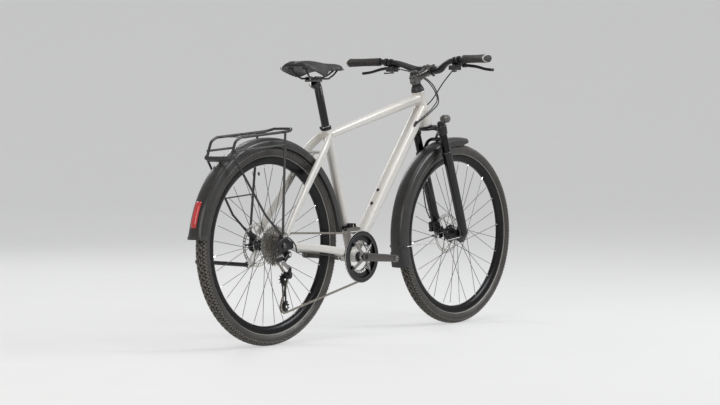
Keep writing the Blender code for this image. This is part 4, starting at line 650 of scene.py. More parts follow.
def rotor(centre, end, body, y):
    """The braking band with slanted slots, five curved arms and the carrier ring."""
    inner, outer, half = 66.8, 79.9, 0.9
    parts = [ring_of(*radii, centre, y, high, 120) for *radii, high in ((inner, inner + 3.4, half),
        (outer - 3.6, outer, half), (17.5, 25, half * 1.3))]
    for i, angle in enumerate(circle(45)):
        start = around(centre, inner + 2.5, angle - 0.018, y)
        stop = around(centre, outer - 2.8, angle + 0.024, y)
        parts.append(block((start + stop) / 2, ((stop - start).length, 2 * half, 2.2 if i % 3 else 4),
            stop - start, Y))
    shares = [k / 8 for k in range(9)]
    sections = [[(a * (9.5 - 4.5 * sin(pi * t)) / 2, b * half) for a, b in square] for t in shares]
    for angle in circle(5):
        path = [around(centre, 23.5 + (inner - 21.5) * t, angle + 0.3 + 0.62 * t - 0.3 * t * t, y)
            for t in shares]
        parts.append(sweep(path, sections, Y))
    put("rotor_disc_" + end, parts, "rotor_steel", body, "rotor_" + end)
    lock = [lathe([(16.8, 0), (20.5, 0.4), (20.5, 3), (19.2, 4), (13.5, 4)], centre + Y * (y + 1), Y)]
    for angle in circle(16):
        lock.append(block(around(centre, 20, angle, y + 3.5), (3, 3, 3.4), outward_at(angle) * 20 + Y * 3.5,
            Y))
    put("rotor_lock_ring_" + end, lock, "anodised", body, bevel=0.2)


def wheels():
    front = (front_axle, "front", "front_wheel")
    rear = (rear_axle, "rear", "rear_wheel")
    front_flanges = (-32, 22)
    rear_flanges = (-21, 34)
    tyre(*front)
    tyre(*rear)
    rim(*front, 35.5, front_flanges)
    rim(*rear, 23, rear_flanges)
    hub_shell(*front, 49.7, 28.5, 35.8, front_flanges, front_rotor_y)
    hub_shell(*rear, 67.2, 17, 23, rear_flanges, rear_rotor_y)
    rotor(*front, front_rotor_y)
    rotor(*rear, rear_rotor_y)
    for (centre, end, body), half in ((front, 50), (rear, 67.5)):
        rings = [hoop([(r, side * (half - y)) for r, y in ((7, 5.5), (11, 5), (11, 2), (7, 1.5))], centre,
            Y, 32) for side in (-1, 1)]
        put("hub_seals_" + end, rings, "silver", body)


# Frame
def tapered_run(start, end, stations):
    """A straight tube through (share, width, height, power) rows, eased between them."""
    rows = eased(stations)
    return sweep([start.lerp(end, row[0]) for row in rows], [round_section(*row[1:], 32) for row in rows])


def eased(rows, per_span=6):
    """Rows of numbers with smooth rows put between them. Their first number runs evenly."""
    made = []
    for before, after in zip(rows, rows[1:]):
        for k in range(per_span):
            t = k / per_span
            shares = [t] + [t * t * (3 - 2 * t)] * (len(before) - 1)
            made.append(tuple(a + (b - a) * share for a, b, share in zip(before, after, shares)))
    return made + [tuple(rows[-1])]


def weld(centre, along, radius_a, radius_b, thickness=1.6):
    """A smoothed weld: a thin rounded ring around a tube's end."""
    side = unit(along.cross(Z))
    upward = unit(side.cross(along))
    path = [centre + side * cos(a) * radius_a + upward * sin(a) * radius_b for a in circle(40) + [2 * pi]]
    return tube(path, thickness, 8, 1)


def main_tubes():
    half_ring = [(20, 0.2), (25.2, 0.2), (25.6, 0.8), (25.6, 7), (24.9, 9), (24.7, 30), (24.8, 56),
        (25.4, 80), (27, 108), (28.1, 125), (28.5, 133), (28.5, 139.8), (28, 140.6), (20, 140.6)]
    down = ((0, 45, 34.5, 2.6), (0.1, 45.5, 36.5, 3.2), (0.3, 45.8, 40.5, 3.6), (0.55, 46, 45.8, 3.6),
        (0.86, 46, 45.8, 3.4), (0.95, 48.5, 48, 3), (0.995, 50, 50, 2.8))
    top = ((-0.03, 32, 30, 2.8), (0.02, 30, 27.5, 3), (0.25, 32.2, 29.7, 3.2), (0.6, 35.4, 33.6, 3.2),
        (0.9, 38.5, 37.2, 3), (0.985, 41.5, 40, 2.8))
    seat_run = [(19, 18), (17.4, 30), (17.2, 50), (17.2, 455), (17.8, 470), (17.8, 492), (17.2, 500),
        (17.2, 511.8), (15.6, 511.8)]
    for node, shape in (("head_tube", lathe(half_ring, head_top, down_the_fork, 64)),
            ("down_tube", tapered_run(bracket, down_tube_end, down)),
            ("top_tube", tapered_run(top_tube_rear, top_tube_front, top)),
            ("seat_tube", lathe(seat_run, bracket, up_the_seat))):
        put(node + "_skin", shape, "pearl_paint", "frame", node)
    down_way = unit(down_tube_end - bracket)
    top_way = unit(top_tube_front - top_tube_rear)
    beads = [weld(top_tube_front - top_way * 14.5, unit(top_way + up_the_fork * 0.1), 21.2, 20.5),
        weld(down_tube_end - down_way * 19, down_way, 24.6, 24.2, 1.8),
        weld(top_tube_rear + top_way * 13, unit(top_way + Z * 0.15), 15.6, 14.6, 1.4)]
    put("weld_beads", beads, "pearl_paint", "frame")


def bottle_bolts():
    along = unit(down_tube_end - bracket)
    outward = unit(Y.cross(along))
    outward = outward if outward.z > 0 else -outward
    places = [bracket + along * (at(x, 0, z) - bracket).dot(along) for x, z in ((622, 549), (584, 499))]
    boss = [(6.8, 19), (6.2, 24.2), (5, 25), (3, 25)]
    bolt = [(4, 24.5), (4.2, 26.2), (3.4, 26.8), (1.9, 26.8), (1.9, 25)]
    put("bottle_bosses", [lathe(boss, place, outward, 24) for place in places], "black_paint", "frame")
    put("bottle_bolts", [lathe(bolt, place, outward, 24) for place in places], "anodised", "frame")


def cable_port():
    along = unit(down_tube_end - bracket)
    outline = [(15 * cos(a), 6.8 * sin(a)) for a in circle(28)]
    port = plate(outline, at(829, -22.6, 801), along, unit(along.cross(Y)), 1.8)
    put("cable_port", port, "black_plastic", "frame", bevel=0.5)


def bracket_area():
    shell = [(14, -36.2), (20.5, -36.4), (21.5, -35.6), (21.5, 35.6), (20.5, 36.4), (14, 36.2)]
    put("bracket_shell", lathe(shell, bracket, Y, 64), "pearl_paint", "frame", "bottom_bracket_shell")
    rows = ((-12, 9, 60, 24), (-30, 9.5, 66, 22), (-64, 10, 69, 21.5), (-92, 10.5, 69, 19))
    path = [bracket + at(x, 0, z) for x, z, wide, high in rows]
    parts = [sweep(path, [round_section(wide, high, 5, 40) for x, z, wide, high in rows])]
    parts += [block(at(357, side * 30.5, 317.5), (52, 8, 24)) for side in (-1, 1)]
    put("yoke", parts, "pearl_paint", "frame", bevel=1.2)
    cup = ((13, 36.2), (19, 36.6), (20, 37.2), (20, 44), (18.5, 45.2), (13, 45.2))
    cups = [lathe([(r, side * y) for r, y in cup], bracket, Y) for side in (-1, 1)]
    put("bracket_cups", cups, "anodised", "frame")


def rear_triangle():
    dropout = [(-30, 355), (-24, 372), (-22, 400), (-10, 406), (6, 396), (34, 380), (52, 372), (52, 350),
        (26, 346), (22, 322), (8, 320), (-4, 334), (-22, 340)]
    seat_path = [(318, 17.5, 759), (300, 28, 742), (250, 45, 692), (150, 52, 566), (60, 63, 451),
        (21, 70.5, 401)]
    seat_sizes = ((17, 19), (18, 29), (18, 30), (17, 27), (13, 27), (6.8, 22))
    chain_way = [(34, 68.5, 362), (100, 63.8, 354.5), (180, 58, 346.5), (270, 51.5, 335.5),
        (359, 44.5, 323.5)]
    chain_sizes = ((10, 22), (14.5, 25.5), (16.8, 27.5), (17.2, 28.5), (17, 29))
    for side, name in sides:
        for node, path, sizes, power in (("seatstay", seat_path, seat_sizes, 3),
                ("chainstay", chain_way, chain_sizes, 3.4)):
            stay = limb([at(x, side * y, z) for x, y, z in path], sizes, 7, power)
            put(node + "_skin_" + name, stay, "pearl_paint", "frame", node + "_" + name)
        end = plate([(x, z - tyre_radius) for x, z in dropout], rear_axle + Y * side * (dropout_face - 3),
            X, Z, 5.8)
        put("dropout_" + name, end, "black_satin", "frame", bevel=0.9)
        nut = lathe([(4, 0), (8.8, 0.2), (9, 5), (7, 6.6), (4, 7)],
            rear_axle + Y * side * (dropout_face + 0.1), Y * side, 32)
        put("axle_nut_rear_" + name, nut, "crank_grey_painted_sheen", "frame")
    middle = at(250, 0, 694)
    bridge = lathe([(7.5, -36), (6.5, -30), (6, 0), (6.5, 30), (7.5, 36)], middle, Y, 32)
    screw = rod(rear_axle + unit(middle - rear_axle) * (tyre_radius + 26.8), middle, 4.5, 16)
    put("stay_bridge_bar", [bridge, screw], "pearl_paint", "frame", "stay_bridge")


def seat_collar():
    base = seat(776.8)
    ring = hoop([(17.6, 0.2), (19.7, 0.2), (20.2, 0.8), (20.2, 12.2), (19.7, 12.9), (17.6, 12.9)], base,
        up_the_seat)
    ears = block(seat(783.3, ahead=-23.2), (10, 13.5, 10), up_the_seat.cross(Y))
    put("seat_collar", [ring, ears], "anodised", "frame", "seat_clamp", bevel=0.6)
    bolt = lathe([(1.8, -8.5), (2.6, -8.2), (3, -6.8), (3, 7.2), (2.4, 8.4)], seat(783.3, ahead=-24), Y, 20)
    put("seat_collar_bolt", bolt, "silver", "frame")


# Mudguards, rack and tail light
def guard_strip(name, centre, radius, first, last, steps, body, replaces, flare_from, flare, toe):
    """A mudguard: a rounded channel around the wheel with rolled edges, drawn as one thin skin."""
    wall = 1.6

    def section(share):
        wide = 32.5 + flare * max(0, (share - flare_from) / (1 - flare_from)) ** 2
        deep = toe + (34.5 - toe) * min(1, share / 0.05)
        outer = both_sides([(-wide - 0.4, -deep), (-wide, 3 - deep), (0.2 - wide, -17), (1.6 - wide, -10.5),
            (5.8 - wide, -5), (12.5 - wide, -2), (-10, -0.6), (0, -0.2)])
        inner = [(a - copysign(wall, a) if abs(a) > 20 else a, b - (wall if abs(a) <= 26 else 0.4))
            for a, b in reversed(outer)]
        inner[0] = (outer[-1][0] - wall, outer[-1][1])
        inner[-1] = (outer[0][0] + wall, outer[0][1])
        return outer + inner

    put(name, arc_piece(centre, radius, first, last, steps, section), "guard_plastic", body, replaces,
        sharp=50)


def both_sides(half):
    """A section from the half that ends on its middle, as (across, out) pairs."""
    return half + opposite(half[:-1])


def opposite(half):
    return [(-a, b) for a, b in reversed(half)]


def arc_piece(centre, radius, first, last, steps, section_of):
    """A section run along part of a circle about an axle. Angles are in degrees."""
    return skin([[around(centre, radius + b, radians(first + (last - first) * i / steps), a)
        for a, b in section_of(i / steps)] for i in range(steps + 1)])


rear_crown = tyre_radius + 26
front_crown = tyre_radius + 28


def rear_guard():
    guard_strip("rear_guard_skin", rear_axle, rear_crown, 4.5, 174.4, 120, "frame", "rear_mudguard", 0.955,
        4.2, 24)
    rows = both_sides([(-36.6, -34), (-37.2, -18), (-33.5, -6), (-25, -1.6), (0, 0)])
    rows += both_sides([(35.2, -34), (35.6, -18), (32.2, -7.2), (24.5, -3), (0, -1.6)])
    tip = arc_piece(rear_axle, rear_crown - 0.6, 173.2, 174.9, 4, lambda share: rows)
    put("rear_guard_tip", tip, "guard_plastic", "frame")


def tail_lamp():
    form = both_sides([(-11.2, 0.4), (-11.9, 2.5), (-11.2, 6.2), (-9, 8.6), (-5, 9.4), (0, 9.6)])

    def lens(share):
        end = min(1, 0.72 + 9 * min(share, 1 - share))
        return [(a * (0.8 + 0.2 * end), 1.2 + b * end * 0.88) for a, b in form]

    def heel(share):
        return [(a * (0.98 - 0.0588 * share), 1 + b * (0.84 - 0.16 * share)) for a, b in form]

    def on_guard(first, last, steps, section):
        return arc_piece(rear_axle, rear_crown, first, last, steps, section)

    put("tail_lamp_lens", on_guard(155.2, 167.4, 36, lens), "red_lens", "frame", "tail_light")
    base = [(-12.2, 0), (-12.4, 2.4), (-11.6, 3), (11.6, 3), (12.4, 2.4), (12.2, 0)]
    put("tail_lamp_base", on_guard(155, 169, 24, lambda share: base), "black_plastic", "frame")
    put("tail_lamp_heel", on_guard(167.2, 168.95, 6, heel), "red_lens", "frame")
    ribs = [on_guard(156.2, 166.6, 24, lambda share: [(middle + a, b)
        for a, b in ((-1.2, 8.4), (-0.6, 9.8), (0.6, 9.8), (1.2, 8.4))]) for middle in (-5, 0, 5)]
    put("tail_lamp_ribs", ribs, "red_lens", "frame")


def rack():
    deck = route((-259, -54, 672), (-252.5, -57, 688), (-243, -58, 712), (-232, -58, 733.5),
        (-206, -58, 747), (-180, -58, 749.8), (-20, -58, 763.8), (36, -58, 769), (55, -55, 772),
        (70, -46, 776.5), (75, -34, 779))
    loop = deck + mirrored(reversed(deck)) + deck[:1]
    put("rack_hoop", tube(loop, 5, 14, 6), "rack_black", "frame", "rack_deck", sharp=60)
    bars = [block(at(x, 0, z), (10, 116, 3.8)) for x, z in ((-185, 749.2), (-30, 763))]
    put("rack_cross_bars", bars, "rack_black", "frame", bevel=1)
    face = X + Z * 0.25
    middle = at(-259, 0, 672)
    put("rack_plate", block(middle, (4, 110, 20), face), "rack_black", "frame", bevel=1.2)
    bolts = [rod(middle + Y * y, middle + Y * y - unit(face) * 3.4, 3.2, 16) for y in (-25, 25)]
    put("rack_plate_bolts", bolts, "anodised", "frame")
    foot = at(-256, 0, 669)
    stud = rod(rear_axle + unit(foot - rear_axle) * (rear_crown - 0.2), foot, 5.2, 16)
    put("rack_guard_stud", stud, "black_plastic", "frame")


def rack_legs():
    for side, name in sides:
        foot = at(-12, side * 79.5, 395)
        paths = [[(-253, 66.8, 682), (-180, 73.2, 580.2), (-107, 79.4, 479), (-95, 80, 466),
            (-16, 79.5, 398.5)], [(16, 66.8, 770), (-12, 79.5, 395)], [(-245, 66.8, 700), (8, 66.8, 721)],
            [(-152, 74, 531), (-5, 76, 543)]]
        sizes = ((4.2, 12, 6), (4.6, 14, 1), (4.2, 12, 1), (2.8, 10, 1))
        legs = [tube([at(x, side * y, z) for x, y, z in path], *size) for path, size in zip(paths, sizes)]
        put("rack_leg_" + name, legs if side > 0 else legs[:3], "rack_black", "frame", "rack_side_" + name,
            sharp=60)
        put("rack_eye_" + name, lathe([(3, -4.6), (7, -4.4), (7.2, 0), (7, 5.2), (3, 5.4)], foot, Y, 24),
            "rack_black", "frame")
        screw = lathe([(1.8, 5), (4.5, 5.2), (4.5, 7.2), (3.4, 8.2), (1.8, 8.2)], foot, Y * side, 20)
        put("rack_screw_" + name, screw, "silver", "frame")


def front_guard():
    guard_strip("front_guard_skin", front_axle, front_crown, 82.6, 197.6, 90, lowers, "front_mudguard",
        0.92, 2.2, 20)

    def section(share):
        w = 3 * share
        outer = [(-33.5 - w, -33.5), (-33.8 - w, -12), (-29 - w, -3), (-10, 0.3)]
        inner = [(31.8 + w, -33.5), (32 + w, -13), (28 + w, -4.6), (10, -1.8)]
        return outer + opposite(outer) + inner + opposite(inner)

    put("front_guard_flap", arc_piece(front_axle, front_crown, 189, 197.9, 10, section), "cable_jacket",
        lowers)
    wires = []
    clips = []
    for side in (-1, 1):
        wires.append(tube(route((752, side * 33.5, 324), (846, side * 46.2, 329.5), (933, side * 58, 334.5),
            (1000, side * 63.6, 343), (1065.5, side * 69, 352)), 1.9, 10, 4))
        clips.append(block(at(751.5, side * 33.8, 324.5), (18, 5.8, 10)))
        clips.append(block(at(1065, side * 65.5, 352), (14, 11, 9)))
    put("front_guard_wires", wires, "steel", lowers)
    put("front_guard_clips", clips, "black_plastic", lowers, bevel=1)
    bridge = fork(218.5, 53)
    screw = rod(front_axle + unit(bridge - front_axle) * (front_crown - 0.6), bridge, 5.5, 16)
    put("front_guard_screw", screw, "black_plastic", lowers)


# Fork
def along_fork(profile, ahead=0, y=0, ring=False):
    return lathe(profile, fork(0, ahead, y), down_the_fork, 48, ring)


def suspension_fork():
    half = [fork(161, leg_ahead, 64), fork(158, 13.5, 48), fork(155, 10, 34), fork(154, 4, 12)]
    sizes = [(34, 26), (34, 19.5), (36, 16), (45, 17.2)]
    parts = [limb(mirrored(half) + half[::-1], sizes + sizes[::-1], 5, 3.2, 28, up_the_fork)]
    cap = [(15, crown_top - 0.4), (18.5, crown_top + 0.6), (20.6, crown_top + 3), (21, crown_top + 6),
        (20.4, crown_top + 20), (19.4, 184), (18.6, 185.8), (15.6, 185.8)]
    parts += [along_fork(cap, leg_ahead, side * leg_y) for side in (-1, 1)]
    parts.append(along_fork([(15.5, 141.6), (21.5, 141.8), (23.5, 144), (24, 147), (15, 148)]))
    put("crown", parts, "black_gloss", steering, "fork_crown")
    tubes = [along_fork([(15.5, 180), (15.5, 372), (14, 372)], leg_ahead, side * leg_y) for side in (-1, 1)]
    put("stanchions", tubes, "stanchion", steering)
    put("steerer", along_fork([(14.3, 150), (14.3, -72), (12.5, -73)]), "steel", steering)
    cap = [(2, crown_top - 6.2), (10.5, crown_top - 6), (12, crown_top - 4.8), (12.2, crown_top)]
    put("leg_cap", along_fork(cap, leg_ahead, leg_y), "anodised", steering)


def lock_knob():
    base = crown_top - 0.3
    profile = [(3, 133.4), (10, 133), (12.2, 134), (13, 135.8), (13, base - 4.2), (14.8, base - 3.2),
        (15, base - 0.4), (10, base)]
    parts = [along_fork(profile, leg_ahead, -leg_y)]
    for angle in circle(18):
        out = ahead_of_fork * cos(angle) + Y * sin(angle)
        parts.append(block(fork(139.2, leg_ahead, -leg_y) + out * 12.8, (1.6, 2.2, 5.6), out,
            out.cross(down_the_fork)))
    parts.append(block(fork(base - 5, leg_ahead + 13.5, -leg_y), (12.5, 6.8, 4.8), ahead_of_fork, Y))
    put("lock_knob", parts, "anodised", "lockout", "lockout_knob", bevel=0.4)


def lower_legs():
    bottom = axle_down - 4
    leg = [(16.2, leg_top + 1), (20.4, leg_top + 0.4), (20.8, leg_top + 2), (20.7, leg_top + 11),
        (19, leg_top + 20), (18.7, leg_top + 90), (18.4, leg_top + 238), (17.6, leg_top + 300),
        (16.5, bottom - 10), (15, bottom - 4), (12.2, bottom - 0.4), (6, bottom)]
    seal = [(15.7, leg_top - 4), (17.6, leg_top - 3.8), (18.6, leg_top - 2), (19, leg_top + 0.6),
        (16, leg_top + 0.8)]
    shells = [along_fork(leg, leg_ahead, side * leg_y) for side in (-1, 1)]
    put("lower_legs", shells, "black_gloss", lowers, "fork_lowers")
    seals = [along_fork(seal, leg_ahead, side * leg_y, ring=True) for side in (-1, 1)]
    put("leg_seals", seals, "cable_jacket", lowers)
    half = [fork(*place) for place in ((300, 22, 66), (282, 29, 65.5), (263, 38.5, 63), (234.5, 50.5, 50),
        (221.5, 53, 34), (218.5, 53, 18))]
    smooth = curve_through(mirrored(half) + half[::-1], 6)
    nearness = [1 - abs(2 * i / (len(smooth) - 1) - 1) for i in range(len(smooth))]
    sections = [round_section(12.5 + middle, 11.5 + 2.5 * middle, 3.6, 20) for middle in nearness]
    put("fork_arch", sweep(smooth, sections, ahead_of_fork), "black_gloss", lowers)
    feet = []
    for side in (-1, 1):
        feet.append(block(fork(axle_down - 3.5, axle_ahead - 10, side * 54.8), (48, 8.8, 29), ahead_of_fork,
            Y))
        rise = fork(axle_down - 24, leg_ahead + 10, side * 57.5)
        feet.append(block(rise, (30, 10, 26), ahead_of_fork + down_the_fork * 0.6, Y))
    put("fork_feet", feet, "black_gloss", lowers, bevel=3, segments=3)
    end = [(4, 0), (8.6, 0.2), (9, 1.6), (9, 7.8), (7.4, 9.6), (4, 10)]
    ends = [lathe(end, front_axle + Y * side * 58.6, Y * side, 32) for side in (-1, 1)]
    put("axle_ends_front", ends, "silver", lowers)


def calipers():
    lean = X + Z * 0.25
    way = unit(lean)
    centre = at(1039, 44, 392)
    halves = [block(centre + at(*place), size, lean) for place, size in (((0, 8.5, 0), (34, 15, 38)),
        ((0, -9.8, 0), (34, 12, 36)), ((-5, 0, 14.5), (20, 34, 10)))]
    put("caliper_front", halves, "anodised", lowers, "front_brake_caliper", bevel=2.5, segments=3)
    banjo = centre + at(8, 0, 15.5)
    cap = [rod(centre + Y * 10, centre + Y * 18.5, 10.5, 28), rod(banjo + Y * 16, banjo + Y * 21.5, 4, 16)]
    put("caliper_front_cap", cap, "black_gloss", lowers, bevel=0.8)
    places = [centre + way * a + Z * b for a, b in ((-12.5, 15), (-12.5, -15), (12.5, -15))]
    bolts = [rod(place + Y * 16.5, place + Y * 20.5, 3.2, 12) for place in places]
    put("caliper_front_bolts", bolts, "silver", lowers)
    outward = outward_at(radians(22))
    across = at(-outward.z, 0, outward.x)
    rear = rear_axle + outward * 78 + Y * (rear_rotor_y - 3.1)
    halves = [block(rear + outward * a + Y * b, size, outward) for a, b,
        size in ((0, 6.4, (34, 6, 40)), (0, -4.6, (34, 9.6, 38)), (14, 0, (7.5, 18.5, 36)))]
    put("caliper_rear", halves, "anodised", "frame", "rear_brake_caliper", bevel=1.8, segments=3)
    places = [rear + outward * 11 + across * b for b in (-14.5, 14.5)]
    bolts = [rod(place - Y * 8.8, place - Y * 12.5, 3.4, 12) for place in places]
    put("caliper_rear_bolts", bolts, "silver", "frame")


def headlamp():
    centre = at(1053, 0, 823)
    body = [(2, -21.6), (8, -21.4), (9.5, -20.6), (12.5, -19.2), (14.8, -17), (16, -12), (16.4, -9),
        (16.4, 10.8), (15.8, 14), (14, 14.8), (12.8, 13.5), (12.4, 10)]
    # The lamp's body is lighter than its black plastic: painted light.
    put("headlamp_body", lathe(body, centre, X, 64), "lamp_plastic_painted_lit", lowers, "front_lamp")
    lens = [(12.8, 9.8), (12.6, 12.8), (10, 14.4), (5, 14.8), (0, 14.9)]
    put("headlamp_lens", lathe(lens, centre, X), "lamp_lens", lowers)
    rings = [hoop([(16.3, x), (16.55, x + 0.4), (16.55, x + 1.2), (16.3, x + 1.6)], centre, X, 64)
        for x in (-9, -5, 5)]
    put("headlamp_rings", rings, "black_plastic", lowers)
    path = [fork(209.5, 53), fork(196, 75), fork(186, 115), centre - Z * 13.5 - X * 6]
    arm = sweep(curve_through(path, 6), round_section(12.5, 4.6, 4, 16))
    put("headlamp_arm", arm, "black_plastic", lowers)


# Stem, bar, grips and controls
def steering_head():
    cover = [(16, -0.4), (25.8, -0.4), (26.2, -1.2), (26.2, -5.6), (25.2, -8), (21.5, -19), (20.5, -21.2),
        (16, -21.4)]
    put("headset_cover", along_fork(cover), "black_plastic", steering, "stem")
    spacer = [(15, -21.6), (17.8, -21.8), (18, -22.4), (18, -31), (17.8, -31.6), (15, -31.8)]
    put("spacer", along_fork(spacer), "anodised", steering)
    lower = [(17, 140.8), (27, 140.8), (27.2, 141.8), (25.5, 144), (17, 144.5)]
    put("lower_bearing_cover", along_fork(lower), "black_plastic", steering)
    clamp = [(14.5, -32), (18.4, -32.2), (19, -33), (19, -68.8), (18.4, -69.8), (14.5, -70)]
    root = fork(-50.8, 6)
    path = [root] + [root.lerp(bar_clamp, share) for share in (0.28, 0.55, 0.8)] + [bar_clamp - X * 10]
    sizes = ((34, 36, 3), (30.5, 32.5, 3.4), (29.5, 30, 3.4), (33, 31, 3.2), (38.5, 34, 3.2))
    body = sweep(path, [round_section(*size, 32) for size in sizes])
    face = lathe([(16, -21.2), (19.8, -21.2), (20.5, -20.4), (20.5, 20.4), (19.8, 21.2), (16, 21.2)],
        bar_clamp, Y)
    ears = block(fork(-50.8, -18.5), (8.5, 20, 30), ahead_of_fork, Y)
    put("stem_body", [along_fork(clamp), body, face, ears], "crank_grey_painted_sheen", steering)
    curve = [around(bar_clamp, 20.2, radians(-62 + 124 * i / 12)) for i in range(13)]
    put("stem_faceplate", sweep(curve, round_section(40, 3.4, 4, 20), X), "crank_grey_painted_sheen", steering)
    bolts = []
    for place in [bar_clamp + at(8.5, y, up * 20.5) for up in (-1, 1) for y in (-14.5, 14.5)]:
        bolts.append(rod(place, place + X * 10.5, 3.4, 16))
    for place in (fork(-59.8, -20), fork(-41.8, -20)):
        bolts.append(rod(place - Y * 11.2, place + Y * 11.2, 3.2, 16))
    put("stem_bolts", bolts, "anodised", steering)
    cap = [(3, -82.2), (3, -80.6), (5, -80.6), (11.8, -82.4), (15, -81.6), (16.8, -79.6), (17, -77),
        (17, -70.2)]
    put("stem_cap", along_fork(cap), "black_gloss", steering)


bar_half = route((943, 0, 1014), (943, 40, 1014), (936.5, 66, 1018.5), (917, 103, 1035),
    (906.5, 130, 1043.5), (901.5, 165, 1047), (895.5, 212, 1050.5), (866.5, 341, 1049))


def handlebar():
    radii = [15.9, 15.9, 14.5, 11.8, 11.1, 11.1, 11.1, 11.1]
    path = mirrored(bar_half[:0:-1]) + bar_half
    put("bar", tube(path, radii[:0:-1] + radii, 32, 10), "black_satin", steering, "handlebar")


def on_bar(y):
    """The place and the direction of the left half of the bar at this distance from its middle."""
    for a, b in zip(bar_half, bar_half[1:]):
        if a.y <= y <= b.y:
            return a.lerp(b, (y - a.y) / (b.y - a.y)), unit(b - a)
    return b, unit(b - a)


def grips():
    start, way = on_bar(bar_half_width - grip_length)
    end, way = on_bar(bar_half_width - 4)
    end = end + way * 5.4
    back = unit(Z.cross(way))
    back = -back if back.x > 0 else back

    def section(share, radius, wing, spread=1, grooved=False):
        """A ring around the bar with a wing at the back, which may have shallow grooves."""
        places = []
        for angle in [2 * pi * (i + 0.5) / 64 for i in range(64)]:
            size = radius - 0.4 * (1 + cos(angle * 24)) * grooved
            out = size + wing * 2.4 * spread * max(0, cos(angle)) ** 2
            places.append(start.lerp(end, share) + back * out * cos(angle) + Z * (size - wing * 0.6)
                * sin(angle))
        return places

    def cuff(first, last, scale):
        shares = ((first, 0.97), (first + 0.002, 1), (last - 0.002, 1), (last, 0.96))
        return skin([section(share, 19 * scale * shrink, 3.9, scale) for share, shrink in shares])

    rows = eased([(0, 15.7, 0), (0.03, 16.1, 0), (0.18, 15.6, 0), (0.5, 16, 1), (0.8, 18, 3),
        (0.93, 19.3, 3.9), (0.955, 19, 3.9)], 14)
    for side, name in sides:
        sleeve = skin([section(*row, grooved=0.06 < row[0] < 0.9) for row in rows])
        put("grip_sleeve_" + name, sided(sleeve, side), "grip_rubber", steering, "grip_" + name)
        put("grip_end_ring_" + name, sided(cuff(0.952, 0.988, 1), side), "light_ring", steering)
        put("grip_end_cap_" + name, sided(cuff(0.986, 1, 0.86), side), "black_plastic", steering)
        collar = lathe([(11.2, -6.2), (15.4, -6), (16.1, -5), (16.1, 0.6), (15.4, 1.2), (11.2, 1.2)], start,
            way, 40)
        put("grip_collar_" + name, sided(collar, side), "anodised", steering)


perch_y = 180


def controls():
    """On each half of the bar: two clamps, the brake's body with its ears, and the shifter."""
    centre, way = on_bar(perch_y)
    inner, inner_way = on_bar(perch_y - 22)
    ahead = unit(at(0.88, 0, -0.47))
    hinge = centre + ahead * 37.5
    path = [centre + ahead * a - Y * b for a, b in ((14, 0), (22, 2), (28, 10), (31, 26), (32.5, 45))]
    sizes = ((14.5, 15, 3), (16.5, 17, 2.8), (18, 17.8, 2.6), (16, 15.8, 2.4), (12.5, 13, 2.2))
    for side, name in sides:
        rings = [lathe([(11.3, -wide), (edge, -wide), (edge + 0.6, 0.8 * tight - wide),
            (edge + 0.6, wide - 0.8 * tight), (edge, wide), (11.3, wide)], place, line, 40)
            for place, line, edge, wide, tight in ((centre, way, 15.2, 5.8, 1),
            (inner, inner_way, 14.6, 5.2, 0.75))]
        put("control_clamps_" + name, sided(together(*rings), side), "anodised", steering,
            "bar_controls_" + name)
        body = sweep(path, [round_section(*size, 24) for size in sizes])
        nut = rod(path[-1], path[-1] + unit(path[-1] - path[-2]) * 6, 4.8, 6)
        put("brake_body_" + name, sided(together(body, nut), side), "black_gloss", steering)
        ears = [block(hinge + Y + Z * s * 6.2, (12.5, 19, 2.6), ahead, Y) for s in (-1, 1)]
        pin = rod(hinge - Y * 2 + ahead.cross(Y) * 8.2, hinge - Y * 2 - ahead.cross(Y) * 8.2, 2.6, 16)
        put("brake_ears_" + name, sided(together(*ears, pin), side), "black_gloss", steering, bevel=0.6)
        pod = [block(inner + at(4, -2, -27), (44, 33, 18.5)), block(inner + at(2, 0, -16.5), (18, 11, 10)),
            block(centre + at(10, -12, -20), (17, 18, 11))]
        put("shifter_body_" + name, sided(together(*pod), side), "black_plastic", steering, bevel=4.2,
            segments=4)
        barrel = rod(inner + at(25, -10, -26), inner + at(37, -14, -25.5), 4.6, 18, 3.8)
        put("shifter_barrel_" + name, sided(barrel, side), "anodised", steering)


def levers():
    centre, way = on_bar(perch_y)
    pivot = centre + at(0.88, 0, -0.47) * 37.5 - Y * 2
    tip = at(927, 322, 1008)
    path = [pivot - Y * 4, pivot + at(4, 8, -1), pivot + at(6, 20, -3), pivot + at(4, 60, -8),
        pivot.lerp(tip, 0.72) + at(3, 0, -2), pivot.lerp(tip, 0.93) + at(2, 0, -1), tip]
    sizes = ((6.8, 7.2), (7.8, 10), (7.8, 11.8), (5.8, 11.6), (5.6, 10.8), (6.6, 11.2), (8.2, 11.8))
    hub = on_bar(perch_y - 22)[0] + at(2, -2, -39)
    reach = [hub + at(*place) for place in ((0, 0, -1.6), (-7, 4, -2.6), (-14, 8, -3), (-21, 12.5, -3.4),
        (-26.8, 17.8, -3))]
    widths = ((10, 3.6), (9, 4.2), (8.8, 4.8), (12, 5.6), (14, 5.8))
    for side, name in sides:
        ball = lathe([(2, -5), (4.6, -3.4), (6, 0), (4.6, 3.4), (2, 5)], tip, Y, 24)
        blade = together(limb(path, sizes, 6, 2.8, 20), ball)
        put("lever_blade_" + name, sided(blade, side), "anodised", name + "_brake_lever",
            "brake_lever_" + name)
        disc = lathe([(3, 1.2), (8, 1.2), (9, 0.4), (9, -3.2), (8, -4), (3, -4.2)], hub, Z, 32)
        arm = together(disc, limb(reach, widths, 4, 2.8, 20))
        put("thumb_lever_" + name, sided(arm, side), "black_plastic", name + "_shift_lever",
            "shift_lever_" + name)


